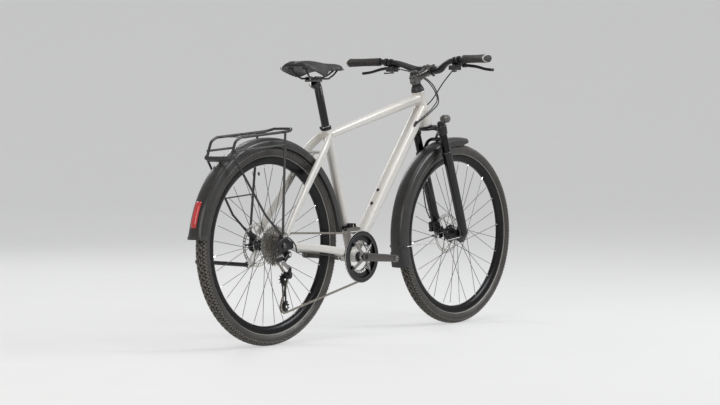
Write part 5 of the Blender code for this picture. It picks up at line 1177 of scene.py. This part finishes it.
# Hoses and housings
front_route = [at(958, -122, 1026), at(985, -85, 1010), at(998, -30, 965), at(1006, 30, 900),
    fork(110, 75, 62), fork(190, 46, 85), fork(275, 22, 88.4), fork(400, 8, 84.2), fork(490, -10, 77),
    at(1036.5, 64, 424)]
rear_route = route((958, 122, 1026), (992, 80, 1000), (1000, 20, 955), (968, -30, 890), (905, -42, 850),
    (860, -33, 820), (833, -26.2, 803))
housing_route = route((330, -46, 306.5), (255, -50, 316.5), (106, -64, 334), (72, -73, 335), (46, -85, 366),
    (0, -89, 392), (-44, -87, 374), (-54, -85, 342), (-49, -79, 315))
shifter_route = route((944, 142, 1021), (985, 108, 1006), (1002, 45, 968), (985, -10, 905), (925, -30, 862),
    (868, -29, 828), (838, -24, 808))


def hoses():
    with_fork = (steering, lowers, fork(150, 60), fork(275, 20))
    with_bar = ("frame", steering, at(860, -33, 820), at(1000, 20, 955))
    beside = ("frame", steering, at(868, -29, 828), at(1002, 45, 968))
    for name, path, radius, count, body, node in (("front_hose", front_route, 2.5, 14, with_fork,
            "front_brake_hose"), ("rear_hose", rear_route, 2.5, 14, with_bar, "rear_brake_hose"),
            ("shifter_housing", shifter_route, 2.2, 12, beside, None),
            ("mech_housing", housing_route, 2.5, 14, "frame", "derailleur_housing")):
        put(name, tube(path, radius, count, 10), "cable_jacket", body, node)
    sleeves = [rod(path[0], path[0].lerp(path[1], 0.3), 3.4, 14) for path in (rear_route, front_route)]
    put("hose_sleeves", sleeves, "black_plastic", steering)
    stop = rod(front_route[-1].lerp(front_route[-2], 0.16), front_route[-1] - Z, 3.4, 14)
    put("hose_end_front", stop, "anodised", lowers)
    ferrule = rod(housing_route[-1], housing_route[-1].lerp(housing_route[-2], 0.4), 3.2, 14)
    put("housing_ferrule", ferrule, "anodised", "frame")


# Drivetrain: the chain's path as directed circles, as in the model
def pitch_radius(teeth):
    return chain_pitch / (2 * sin(pi / teeth))


def flat(vector):
    return Vector((vector.x, vector.z))


chain_circles = [(flat(bracket), ring_teeth, 1), (flat(rear_axle), cog_teeth, 1),
    (flat(guide_pulley), pulley_teeth, -1), (flat(tension_pulley), pulley_teeth, 1)]


def tangent(first, second):
    """Where a straight stretch of chain leaves the first circle and meets the second."""
    (start, teeth, turning), (end, next_teeth, next_turning) = first, second
    radius = turning * pitch_radius(teeth)
    next_radius = next_turning * pitch_radius(next_teeth)
    between = end - start
    angle = atan2(between.y, between.x) - asin((next_radius - radius) / between.length)
    normal = Vector((-sin(angle), cos(angle)))
    return start - normal * radius, end - normal * next_radius


def chain_spans(circles):
    """The closed path as ('line', start, end, links) and ('arc', centre, radius, from, turn, links)."""
    spans = []
    joins = [tangent(*pair) for pair in zip(circles, circles[1:] + circles[:1])]
    for (centre, teeth, sense), before, (start, end) in zip(circles, joins[-1:] + joins, joins):
        arrive = before[1] - centre
        leave = start - centre
        begin = atan2(arrive.y, arrive.x)
        turn = atan2(leave.y, leave.x) - begin
        while turn * sense < 0:
            turn += sense * 2 * pi
        while turn * sense > 2 * pi:
            turn -= sense * 2 * pi
        spans.append(("arc", centre, pitch_radius(teeth), begin, turn, abs(turn) * teeth / (2 * pi)))
        spans.append(("line", start, end, (end - start).length / chain_pitch))
    return spans


chain_path = chain_spans(chain_circles)
chain_links = round(sum((span[-1] for span in chain_path)))


def on_chain(link):
    """Centre, direction and span of the chain at this many links from where it meets the large ring."""
    left = link % chain_links
    for number, (kind, *span, links) in enumerate(chain_path):
        if left <= links or number == len(chain_path) - 1:
            break
        left -= links
    share = left / links
    if kind == "line":
        return span[0].lerp(span[1], share), unit(span[1] - span[0]), number
    centre, radius, begin, turn = span
    angle = begin + turn * share
    return centre + Vector((cos(angle), sin(angle))) * radius, Vector((-sin(angle),
        cos(angle))) * copysign(1, turn), number


def roller_angle(which):
    """The angle of the first roller that lies on this circle of the chain's path."""
    for link in range(chain_links):
        place, way, span = on_chain(link)
        if span == which * 2:
            place = place - chain_circles[which][0]
            return atan2(place.y, place.x)


def link_plate(first, second, y, thick, waist=2.6, head=4.1):
    """A waisted chain plate from one pin to the next."""
    way = unit(second - first)
    normal = Vector((-way.y, way.x))
    outline = []
    for centre, start, side in ((second, -80, 1), (first, 100, -1)):
        for angle in [radians(start + 160 * k / 6) for k in range(7)]:
            outline.append(centre + (way * cos(angle) + normal * sin(angle)) * head)
        outline.append((first + second) / 2 + normal * waist * side)
    return plate(outline, at(0, y, 0), X, Z, thick)


def chain_piece(name, links, body, replaces=None):
    parts = []
    for link in links:
        first, second = on_chain(link)[0], on_chain(link + 1)[0]
        reach = 2.7 if link % 2 else 1.85
        parts += [link_plate(first, second, chain_y + side * reach, 0.8) for side in (-1, 1)]
        place = at(first.x, chain_y, first.y)
        parts += [rod(place - Y * 1.4, place + Y * 1.4, 3.7, 12), rod(place - Y * 3.3, place + Y * 3.3, 1.8,
            10)]
    put(name, parts, "chain_steel", body, replaces)


def chain():
    """The chain in stretches: on the rings and cog, to the cage, around its pulleys and back."""
    spans = [on_chain(link + 0.5)[2] for link in range(chain_links)]

    def links_on(*wanted):
        return [link for link, span in enumerate(spans) if span in wanted]

    def between(start, end):
        return "frame", "derailleur_cage", at(start.x, chain_y, start.y), at(end.x, chain_y, end.y)

    chain_piece("chain_top", links_on(0, 1, 2), "frame", "chain")
    down = links_on(3)
    foot = on_chain(down[0])[0]
    guide = chain_path[3][2]
    chain_piece("chain_to_pulleys", down, between(foot.lerp(guide, 0.54), foot.lerp(guide, 0.85)))
    chain_piece("chain_on_pulleys", links_on(4, 5, 6), "derailleur_cage")
    chain_piece("chain_return", links_on(7), between(chain_path[7][2], chain_path[7][1]))


def sprocket(centre, teeth, first, y, half, bore, depth=4, height=3):
    """A toothed ring with rounded seats for the rollers and narrowed teeth."""
    radius = pitch_radius(teeth)
    seat_part = ((-0.16, radius - depth * 0.86), (0, radius - depth), (0.16, radius - depth * 0.86))
    tip = ((0.32, radius - depth * 0.15), (0.43, radius + height * 0.85), (0.5, radius + height),
        (0.57, radius + height * 0.85), (0.68, radius - depth * 0.15))
    outline = [(r, first + turn + share * 2 * pi / teeth) for turn in circle(teeth)
        for share, r in seat_part + tip]
    rings = [[around(centre, r - shrink, a, y + level) for r, a in outline]
        for level, shrink in ((-half, 0.4), (-half / 2, 0), (half / 2, 0), (half, 0.4))]
    rings += [[around(centre, bore, a, y + level) for r, a in outline] for level in (half, -half)]
    return skin(rings, ring=True)


def ring_of(inner, outer, centre, y, half, steps=96):
    return hoop([(inner, y - half), (outer, y - half), (outer, y + half), (inner, y + half)], centre, Y,
        steps)


def cassette():
    engaged = cog_counts.index(cog_teeth)
    first = roller_angle(1)
    small, large = [], []
    for i, teeth in enumerate(cog_counts):
        group = large if i > engaged else small
        y = chain_y + (i - engaged) * cog_spacing
        bore = max(18.5, pitch_radius(teeth) - 13.5)
        turn = first if i == engaged else first + 0.11 * i
        group.append(sprocket(rear_axle, teeth, turn, y, 0.9, bore))
        for angle in circle(6) if bore > 19 else ():
            middle = around(rear_axle, (18 + bore) / 2, turn + angle, y)
            group.append(block(middle, (bore - 16, 1.6, 6), outward_at(turn + angle), Y))
    put("cogs_small", small, "cog_steel", "cassette_body", "cassette")
    put("cogs_large", large, "cog_steel", "cassette_body")
    low = chain_y - engaged * cog_spacing
    high = chain_y + (len(cog_counts) - 1 - engaged) * cog_spacing
    core = hoop([(15, low - 1), (18.5, low - 0.8), (18.5, high + 0.6), (15, high + 0.8)], rear_axle, Y)
    put("cassette_core", core, "anodised", "cassette_body")
    lock = [hoop([(12, low - 3.4), (17.2, low - 3.4), (18, low - 2.6), (18, low - 1.2), (12, low - 1.2)],
        rear_axle, Y)]
    for angle in circle(12):
        lock.append(block(around(rear_axle, 12.6, angle, low - 2.3), (2, 2.2, 2.6), outward_at(angle), Y))
    put("cassette_lock", lock, "silver", "cassette_body")


arm_angle = radians(45) + crank_rest_angle
bolt_circle = 56
inner_ring_y = -36.5
guard_y = -52.5


def crankset():
    arms = [arm_angle + a for a in circle(4)]
    parts = [sprocket(bracket, ring_teeth, roller_angle(0), chain_y, 1, 70),
        ring_of(61.2, 70.6, bracket, chain_y, 1.1)]
    parts += [block(around(bracket, 62.5, a, chain_y), (16, 2.2, 15), outward_at(a), Y) for a in arms]
    put("ring_large", parts, "anodised", "crankset", "chainrings")
    small = [sprocket(bracket, inner_ring_teeth, 0.06, inner_ring_y, 1, 52),
        ring_of(50, 52.4, bracket, inner_ring_y, 1)]
    put("ring_small", small, "cog_steel", "crankset")
    guard = ((85, -0.2), (86.8, -0.7), (89, -1.2), (91, -1.3), (93.2, -1), (95.5, -0.2), (96.6, -0.1),
        (97.4, -0.6), (98.1, -1.2), (98.5, -0.6), (98.5, 0.8), (97.5, 1.3), (86, 1))
    edge = ((96.8, -1.45), (97.8, -1.5), (98.5, -0.6), (98, -0.4))
    rings = [hoop([(r, guard_y + y) for r, y in profile], bracket, Y, 160) for profile in (guard, edge)]
    parts = [rings[0], ring_of(80, 86.2, bracket, guard_y, 0.8, 160)]
    parts += [block(around(bracket, 71, a, guard_y), (26, 1.8, 9.8), outward_at(a), Y) for a in arms]
    put("ring_guard", parts, "black_gloss", "crankset", sharp=50)
    put("ring_guard_edge", rings[1], "silver", "crankset")
    bolt = [(2.2, 0), (5, 0.2), (5.6, 1.2), (5.6, 17), (2.2, 17.2)]
    bolts = [lathe(bolt, around(bracket, bolt_circle, a, guard_y - 3.4), Y, 24) for a in arms]
    put("ring_bolts", bolts, "silver", "crankset")


def crank_side(side):
    """One crank arm with its hub around the axle and the ring that the pedal screws into."""
    way = outward_at(crank_rest_angle) * -side
    near, far = side * 69, side * 80
    rows = eased([(0, 12.2, 32.5), (0.14, 12.2, 32), (0.3, 12, 31), (0.55, 11.8, 29.5), (0.85, 11.2, 27.5),
        (1, 11, 27)], 4)
    path = [bracket + way * (crank_length * row[0]) + Y * (near + (far - near) * row[0]) for row in rows]
    arm = sweep(path, [round_section(*row[1:], 3.4, 28) for row in rows])
    hub = [(6, 0), (15.8, 0.2), (17, 1.4), (17, 11.2), (15.2, 13), (11, 13.4)]
    eye = [(7.1, -6), (13.6, -5.8), (14.4, -4.6), (14.4, 5.8), (13.2, 7.2), (7.1, 7.4)]
    return [arm, lathe(hub, bracket + Y * side * 62.2, Y * side), hoop(eye,
        bracket + way * crank_length + Y * far, Y * side)]


def cranks():
    spider = []
    for angle in circle(4):
        out = outward_at(arm_angle + angle)
        path = [bracket + out * r + Y * y for r, y in ((10, -66), (34, -62.5), (bolt_circle + 6.5, -57.4))]
        spider.append(limb(path, ((8, 16), (6.4, 12.9), (4.8, 9.8)), 4, 3, 20, out.cross(Y)))
    put("crank_right", crank_side(-1), "crank_grey_painted_sheen", "crankset", "crank_arm_right")
    put("crank_spider", spider, "silver_grey", "crankset")
    put("crank_left", crank_side(1), "crank_grey_painted_sheen", "crankset", "crank_arm_left")
    put("crank_axle", rod(bracket - Y * 64, bracket + Y * 62, 11.8, 32), "steel", "crankset")
    for side, name in sides:
        cap = lathe([(3, 0), (6, 0.4), (9.6, 1), (10.4, 0), (10.4, -2)], bracket + Y * side * 75.7,
            Y * side, 32)
        put("crank_cap_" + name, cap, "anodised", "crankset")
        end = bracket + outward_at(crank_rest_angle) * -side * crank_length + Y * side * 80
        thread = hoop([(7, -5), (7.4, -5), (7.4, 6.6), (7, 6.6)], end, Y * side, 40)
        put("pedal_thread_" + name, thread, "silver", "crankset")


def derailleurs():
    """The rear one: its base on the hanger, the swinging link, and the cage with two pulleys."""
    hanger = at(16, 0, 330)
    face = -(dropout_face + 0.3)
    drum = lathe([(3, 0), (11, 0.2), (12, 1.4), (12, 12), (10.4, 13.8), (6, 14.2)], hanger + Y * face, -Y,
        40)
    root = hanger + Y * (face - 7)
    hook = at(-9.4, -85.6, 311)
    arm = limb([root, (root + hook) / 2, hook], ((12, 18), (10.5, 17), (9, 16)), 5, 3, 24)
    stop = block(at(-28.5, face - 6, 313.8), (33, 5.8, 13.8), X + Z * 0.2)
    put("mech_base", [drum, arm, stop], "anodised", "frame", "rear_derailleur_base")
    bolt = lathe([(1.8, 0), (5.8, 0.2), (6.4, 1), (6, 2.4), (3, 2.4), (2.6, 0.6)], hanger + Y * (face - 14),
        -Y, 32)
    put("mech_hanger_bolt", bolt, "silver", "frame")
    pivot = at(-16, -85.6, 302)
    far = at(14, -85.6, 280)
    way = unit(far - pivot)
    across = at(-way.z, 0, way.x)
    link = sweep([pivot, pivot.lerp(far, 0.5), far], [round_section(4.5, h, 4, 20)
        for h in (15.8, 14.2, 15.6)])
    pin = rod(pivot + across * 8.5, pivot - across * 9.5, 2.8)
    put("mech_link", [link, pin], "silver_grey", "derailleur_link", "rear_derailleur_link")
    guide, tension = [at(pulley.x, 0, pulley.z) for pulley in (guide_pulley, tension_pulley)]
    down = unit(tension - guide)
    long = (tension - guide).length

    def cage_plate(y, slim):
        half = [(-12, 4.5), (-9, 9.5), (0, 12), (10, 10), (20, 6), (34, 4.5), (long - 24, 4.5),
            (long - 14, 6.2), (long - 6, 9.5), (long + 4, 10), (long + 10.5, 5)]
        loop = [(t, w * slim) for t, w in half] + [(t, -w * slim) for t, w in reversed(half)]
        return plate(loop, guide + Y * y, down, unit(down.cross(Y)), 1.5)

    outer = cage_plate(chain_y - 6, 1)
    put("mech_cage_outer", outer, "anodised", "derailleur_cage", "rear_derailleur_cage", bevel=0.5)
    put("mech_cage_inner", cage_plate(chain_y + 6, 0.9), "silver_grey", "derailleur_cage", bevel=0.5)
    pins = [rod(centre + Y * (chain_y - low), centre + Y * (chain_y + high), radius, count)
        for centre in (guide, tension) for low, high, radius, count in ((8.4, 7, 2.4, 16),
        (8.5, -6.6, 4.4, 20))]
    put("mech_pins", pins, "silver", "derailleur_cage")
    knuckle = guide + at(6, 0, 14)
    body = [(4, -27.8), (11.2, -27.6), (13, -25.8), (13, -7), (11.8, -6), (4, -6)]
    body = lathe([(r, chain_y + y) for r, y in body], knuckle, Y, 40)
    ear = far + way * 0.6
    path = [ear, ear + way * 6, ear + way * 10 + Y * 4, knuckle - Y * 65]
    reach = limb(path, [(11 + k / 3, 16 + k * 2 / 3) for k in range(4)], 4, 3.2, 24)
    put("mech_knuckle", [body, reach], "anodised", "derailleur_cage")
    for which, centre, name in ((2, guide, "guide_pulley"), (3, tension, "tension_pulley")):
        wheel = sprocket(centre, pulley_teeth, roller_angle(which), chain_y, 1.1, 4.8, 4.4, 2.8)
        hub = ring_of(3, 5.6, centre, chain_y, 3.4, 32)
        put(name + "_wheel", [wheel, hub], "black_plastic", name + "_body", name)


def front_mech():
    ring = hoop([(17.5, -6.8), (21.2, -6.8), (21.9, -6), (21.9, 6), (21.2, 6.8), (17.5, 6.8)], seat(414),
        up_the_seat)
    ear = block(at(428.6, -24, 418), (23.5, 9.8, 17.5))
    put("front_mech_body", [ring, ear], "anodised", "frame", "front_derailleur_body", bevel=1.2)
    outer_y = chain_y - 8
    inner_y = chain_y + 6
    middle = (outer_y + inner_y) / 2
    outer = [(-87.5, 98.2), (-74, 97.6), (-60, 97.7), (-45, 98.4), (-30, 99.2), (-10.5, 102.4), (-8.5, 106),
        (-9, 110.2), (-18, 112.4), (-30, 113.3), (-45, 113.3), (-60, 112.3), (-74, 110.4), (-86.2, 107.6)]
    inner = [(-89.5, 99), (-74, 98.2), (-60, 97.7), (-30, 96.7), (-10.5, 96.7), (-7.8, 101), (-7.5, 106.6),
        (-18, 110.2), (-30, 113.3), (-45, 113.3), (-60, 112.3), (-74, 110.6), (-88.2, 108.2)]
    parts = [plate(outline, bracket + Y * y, X, Z, 1.3) for outline,
        y in ((outer, outer_y), (inner, inner_y))]
    for x, z, long, high in ((-32, 112.6, 24, 2.6), (-83, 105.5, 4.6, 4.2)):
        parts.append(block(bracket + at(x, middle, z), (long, inner_y - outer_y, high)))
    put("front_mech_cage", parts, "dark_steel", "front_cage", "front_derailleur_cage", bevel=0.4)
    path = [bracket + at(*place) for place in ((-15, inner_y, 107), (-15.7, -35.8, 110), (-16.4, -33, 114),
        (-21.6, -34.5, 125))]
    put("front_mech_link", sweep(path, round_section(9.8, 5.8, 3.4, 20), X), "anodised", "front_cage")


# Saddle, seatpost and stand
saddle_stations = [(131.5, 50, 1012, 1002), (136, 64, 1019, 999), (150, 73.5, 1024.5, 992),
    (175, 78, 1026.7, 982), (205, 76.5, 1026.2, 972), (235, 68, 1024.5, 965.5), (260, 56, 1022.8, 974),
    (285, 43, 1021.3, 985.5), (313, 33, 1020.6, 991), (350, 26.5, 1020.8, 993.5), (380, 24, 1022, 995),
    (398, 19.5, 1019, 997.5), (405.5, 12, 1013, 1003.5)]


def saddle_row(x):
    """Half width, top and lower edge of the saddle at a distance x, on smooth curves, all in metres."""
    rows = [[value / 1000 for value in row] for row in saddle_stations]
    tops = curve_through([Vector(row[:3]) for row in rows])
    lows = curve_through([at(row[0], row[3], 0) for row in rows])
    x = max(tops[0].x, min(tops[-1].x, x))
    for top, next_top, low, next_low in zip(tops, tops[1:], lows, lows[1:]):
        if top.x <= x <= next_top.x:
            share = (x - top.x) / max(1e-09, next_top.x - top.x)
            row = top.lerp(next_top, share)
            return row.y, row.z, low.lerp(next_low, share).y


def saddle_section(x):
    """The same three numbers in millimetres."""
    return [value * 1000 for value in saddle_row(x / 1000)]


def saddle_skin(smaller=0):
    """The padded top as one closed crowned form, hollow below, and smaller all round when it is to swell.

    It is in metres, like the simulation that swells it.
    """
    first, last = saddle_stations[0][0] / 1000 + smaller, saddle_stations[-1][0] / 1000 - smaller
    rings = []
    for t in [i / 56 for i in range(57)]:
        x = first + (last - first) * (0.35 * (0.5 - 0.5 * cos(pi * t)) + 0.65 * t)
        half, top, low = saddle_row(x)
        half -= smaller
        top -= smaller
        crown = top - low
        dip = 0.003 * exp(-((x - 0.235) / 0.07) ** 2)
        over = []
        for a in [-1 + 2 * k / 24 for k in range(25)]:
            edge = abs(a)
            z = top - crown * 0.98 * max(0, (edge - 0.3) / 0.7) ** 2.4 - dip * max(0,
                1 - (edge / 0.42) ** 2)
            over.append((half * copysign(1 - (1 - edge) ** 1.25, a), max(z, low)))
        under = both_sides([(half * 0.93, low + 0.0006), (half * 0.74, low + crown * 0.4),
            (half * 0.35, low + crown * 0.5), (0, low + crown * 0.52)])
        rings.append([at(x, y, z) for y, z in over + under])
    return skin(rings)


def swollen(bm, cap):
    """The same shape after a short pressure simulation of its cover, with no point moved further than cap."""
    mesh = bpy.data.meshes.new("swelling")
    bm.to_mesh(mesh)
    bm.free()
    scene = bpy.context.scene
    obj = added("swelling", mesh)
    for old in bpy.context.selected_objects:
        old.select_set(False)
    bpy.context.view_layer.objects.active = obj
    remesh = obj.modifiers.new("even", "REMESH")
    remesh.mode = "VOXEL"
    remesh.voxel_size = 0.004
    graph = bpy.context.evaluated_depsgraph_get()
    even = bpy.data.meshes.new_from_object(obj.evaluated_get(graph))
    obj.modifiers.clear()
    obj.data = even
    before = [v.co.copy() for v in even.vertices]
    cloth = obj.modifiers.new("cover", "CLOTH")
    cloth.settings.quality = 6
    cloth.settings.use_pressure = True
    cloth.settings.uniform_pressure_force = 4
    cloth.settings.effector_weights.gravity = 0
    cloth.point_cache.frame_end = 20
    for step in range(1, 21):
        scene.frame_set(step)
    graph = bpy.context.evaluated_depsgraph_get()
    result = bpy.data.meshes.new_from_object(obj.evaluated_get(graph))
    for v, old in zip(result.vertices, before):
        move = v.co - old
        if move.length > cap:
            v.co = old + unit(move) * cap
    scene.frame_set(1)
    bpy.data.objects.remove(obj)
    made = bmesh.new()
    made.from_mesh(result)
    return made


def saddle():
    cover = swollen(saddle_skin(0.0022), 0.003)
    for v in cover.verts:
        v.co.z = min(v.co.z, 1.03)
        v.co *= 1000
    pad = put("saddle_cover", cover, "saddle_cover", "saddle_assembly", "saddle_pad", sharp=75)
    seams, piping = [], []
    for side in (-1, 1):
        line, edge = [], []
        for share in [k / 29 for k in range(30)]:
            x = 150 + 236 * share
            line.append(saddle_surface(pad, x, side * saddle_section(x)[0] * (0.7 - 0.1 * share)))
        for share in [k / 39 for k in range(40)]:
            x = 134.5 + 268.5 * share
            half, top, low = saddle_section(x)
            edge.append(at(x, side * (half - 0.8), low + (top - low) * 0.14))
        seams.append(tube(line, 0.9, 8, 2))
        piping.append(tube(edge, 1.6, 8, 2))
    put("saddle_seams", seams, "black_plastic", "saddle_assembly")
    put("saddle_piping", piping, "black_plastic", "saddle_assembly")


def saddle_surface(pad, x, y):
    """The place on top of the saddle's cover at x and y."""
    hit, place, normal, face = pad.ray_cast(to_frame(at(x, y, 1200)), -Z)
    return (from_frame(place) if hit else at(x, y, saddle_section(x)[1])) + Z * 0.1


def saddle_base():
    rings = []
    for x, half, top, low in saddle_stations[1:-1]:
        w = half * 0.7
        roof = low + (top - low) * 0.38
        middle = low + (top - low) * 0.46
        over = both_sides([(-w, roof), (-w / 2, middle - 0.6), (0, middle)])
        under = both_sides([(w, roof - 3), (w / 2, middle - 4.2), (0, middle - 4.2)])
        rings.append([at(x, y, z) for y, z in over + under])
    put("saddle_base", skin(rings), "black_plastic", "saddle_assembly", "saddle_shell")
    rail = ((160, 34, 1000.5), (168, 33, 991), (178, 31, 980), (205, 23.5, 964.5), (225, 22, 964),
        (300, 22, 964), (322, 18, 971), (345, 14, 980), (380, 7.5, 1003))
    rails = [tube([at(x, side * y, z) for x, y, z in rail], 3.5, 16, 6) for side in (-1, 1)]
    blocks = [block(at(160, side * 34, 998.5), (16, 14, 10)) for side in (-1, 1)]
    blocks.append(block(at(381, 0, 1001), (20, 26, 10)))
    put("saddle_rails", rails, "black_gloss", "saddle_assembly")
    put("saddle_sockets", blocks, "black_plastic", "saddle_assembly", bevel=2)


def seatpost():
    top = at(271.5, 0, 937.6)
    bottom = seat(622)
    length = (top - bottom).length
    post = lathe([(14.8, 0), (15, 1), (15, length - 4), (12.5, length)], bottom, up_the_seat)
    path = [top - up_the_seat * 14, at(266, 0, 937), at(256, 0, 945), at(251, 0, 951)]
    head = limb(path, [(25 + k * 8 / 3, 26 + k * 23 / 3) for k in range(4)], 5, 3, 32, X)
    put("post_tube", [post, head], "black_gloss", "saddle_assembly", "seatpost")
    cradle = [block(at(247, y, z), size) for y, z, size in ((0, 956, (42, 50, 8.5)),
        (-21.5, 969, (30, 12, 5)), (21.5, 969, (30, 12, 5)), (0, 964.5, (28, 33, 9)))]
    put("post_clamp", cradle, "crank_grey_painted_sheen", "saddle_assembly", bevel=1.6)
    bolts = [rod(at(x, 0, low), at(x, 0, high), *size) for low, high,
        *size in ((937, 971.5, 3, 16), (969, 973.5, 5)) for x in (230, 264)]
    put("post_bolts", bolts, "silver", "saddle_assembly")


def kickstand():
    pivot = at(-22.6, 80.9, 288)
    way = unit(at(-1, -0.085, 0.095))
    axis = unit(way.cross(unit(at(-0.1, 0.33, -0.94))))
    boss = lathe([(3, -10), (9.8, -10), (10.5, -9.2), (10.5, 2.6), (9.8, 3.3), (3, 3.3)], pivot, axis, 40)
    leg = tube([pivot + way * reach for reach in (4, 30, 150, 278)], [8.6, 7.8, 7.4, 6.8], 28, 6)
    put("stand_leg", [boss, leg], "black_satin", "stand", "kickstand_leg")
    foot = [(7, -19), (8.6, -18.4), (9.4, -15), (9.5, 4), (8.8, 9.8), (6, 12)]
    put("stand_foot", lathe(foot, pivot + way * 278, way, 32), "cable_jacket", "stand")
    hinge = plate([(24, 342), (-4, 342), (-30, 304), (-34, 290), (-30, 279), (-14, 277), (2, 292)], Y * 69,
        X, Z, 6.8)
    put("stand_bracket", hinge, "silver", "frame", bevel=1)
    pin = lathe([(2, 0), (4.8, 0.2), (5, 1.6), (3.6, 2.6), (2, 2.6)], pivot + axis * 3.4, axis, 20)
    put("stand_pin", pin, "silver", "stand")


# Stage, lights and camera
def camera():
    data = bpy.data.cameras.new("camera")
    data.lens = 95.95
    data.sensor_width = 36
    data.clip_end = 60
    obj = added("camera", data)
    obj.location = (-5.6447, -4.626, 0.741)
    obj.rotation_euler = (radians(88.114), 0, radians(-50.51))
    bpy.context.scene.camera = obj


def stage_paint(name, tone, rough, glow):
    """Pale matt paint. What the camera and reflections see of it glows a little, which lights nothing."""
    made = Nodes(name)
    rays = made.add("LightPath", 0, {}).node.outputs
    seen = made.add("Math", 0, {0: rays["Is Camera Ray"], 1: rays["Is Glossy Ray"]}, operation="MAXIMUM")
    seen = made.add("Math", 0, {0: seen, 1: rays["Is Transmission Ray"]}, operation="MAXIMUM")
    made.feed(made.shader, {"Base Color": made.ramp(made.noise(1.6), (0.3, shaded(tone, 0.985)),
        (0.7, shaded(tone, 1.01))), "Roughness": made.ramp(made.noise(6), (0.3, rough),
        (0.7, rough + 0.08)), "Emission Color": (1, 1, 1), "Emission Strength": made.add("Math", 0,
        {0: seen, 1: glow}, operation="MULTIPLY")})
    return made.material


def stage():
    """A pale floor that curves up into a backdrop far behind the bicycle."""
    heights = [(3, 0), (8, 0), (11, 0)]
    heights += [(11 + 4 * sin(a), 4 - 4 * cos(a)) for a in [pi / 2 * k / 12 for k in range(1, 13)]]
    heights.append((15, 12))
    bm = bmesh.new()
    centre = bm.verts.new((0, 0, 0))
    rows = [[bm.verts.new((reach * cos(a), reach * sin(a), height)) for a in circle(96)]
        for reach, height in heights]
    for first, second in zip(rows[0], rows[0][1:] + rows[0][:1]):
        bm.faces.new((centre, first, second))
    for lower, upper in zip(rows, rows[1:]):
        faces_between(bm, lower, upper)
    bmesh.ops.recalc_face_normals(bm, faces=bm.faces)
    bm.faces.ensure_lookup_table()
    if bm.faces[0].normal.z < 0:
        bmesh.ops.reverse_faces(bm, faces=bm.faces)
    mesh = bpy.data.meshes.new("studio_floor")
    bm.to_mesh(mesh)
    bm.free()
    mesh.shade_smooth()
    mesh.materials.append(stage_paint("studio_floor", (0.36, 0.36, 0.36), 0.75, 0.46))
    added("studio_floor", mesh)


def lamp(name, place, target, size, power, colour=(1, 1, 1)):
    data = bpy.data.lights.new(name, "AREA")
    data.shape = "RECTANGLE"
    data.size, data.size_y = size
    data.energy = power
    data.color = colour
    obj = added(name, data)
    obj.location = place
    obj.rotation_euler = (Vector(target) - Vector(place)).to_track_quat("-Z", "Y").to_euler()


def lights():
    lamp("key", (2.4, -4.2, 4), (0.1, 0, 0.5), (3, 2.4), 200, (0.96, 0.98, 1))
    lamp("fill", (-4.8, -1.4, 2.2), (0, 0, 0.5), (3, 2.2), 72, (1, 0.95, 0.88))
    lamp("back", (1.5, 4.5, 3.4), (0, 0, 0.6), (2.6, 1.6), 60)
    lamp("top", (-0.4, -0.4, 4.6), (0, 0, 0), (3.4, 2), 60)
    world = bpy.data.worlds.new("studio")
    world.use_nodes = True
    sky = world.node_tree.nodes["Background"]
    sky.inputs["Color"].default_value = (0.8, 0.82, 0.84, 1)
    sky.inputs["Strength"].default_value = 0.42
    bpy.context.scene.world = world


def bicycle():
    for part in (wheels, main_tubes, bottle_bolts, cable_port, bracket_area, rear_triangle, seat_collar,
            rear_guard, tail_lamp, rack, rack_legs, front_guard, suspension_fork, lock_knob, lower_legs,
            calipers, headlamp, steering_head, handlebar, grips, controls, levers, hoses, chain, cassette,
            crankset, cranks, derailleurs, front_mech, saddle, saddle_base, seatpost, kickstand):
        part()


bpy.context.scene.view_settings.view_transform = "Standard"
camera()
stage()
lights()
bicycle()
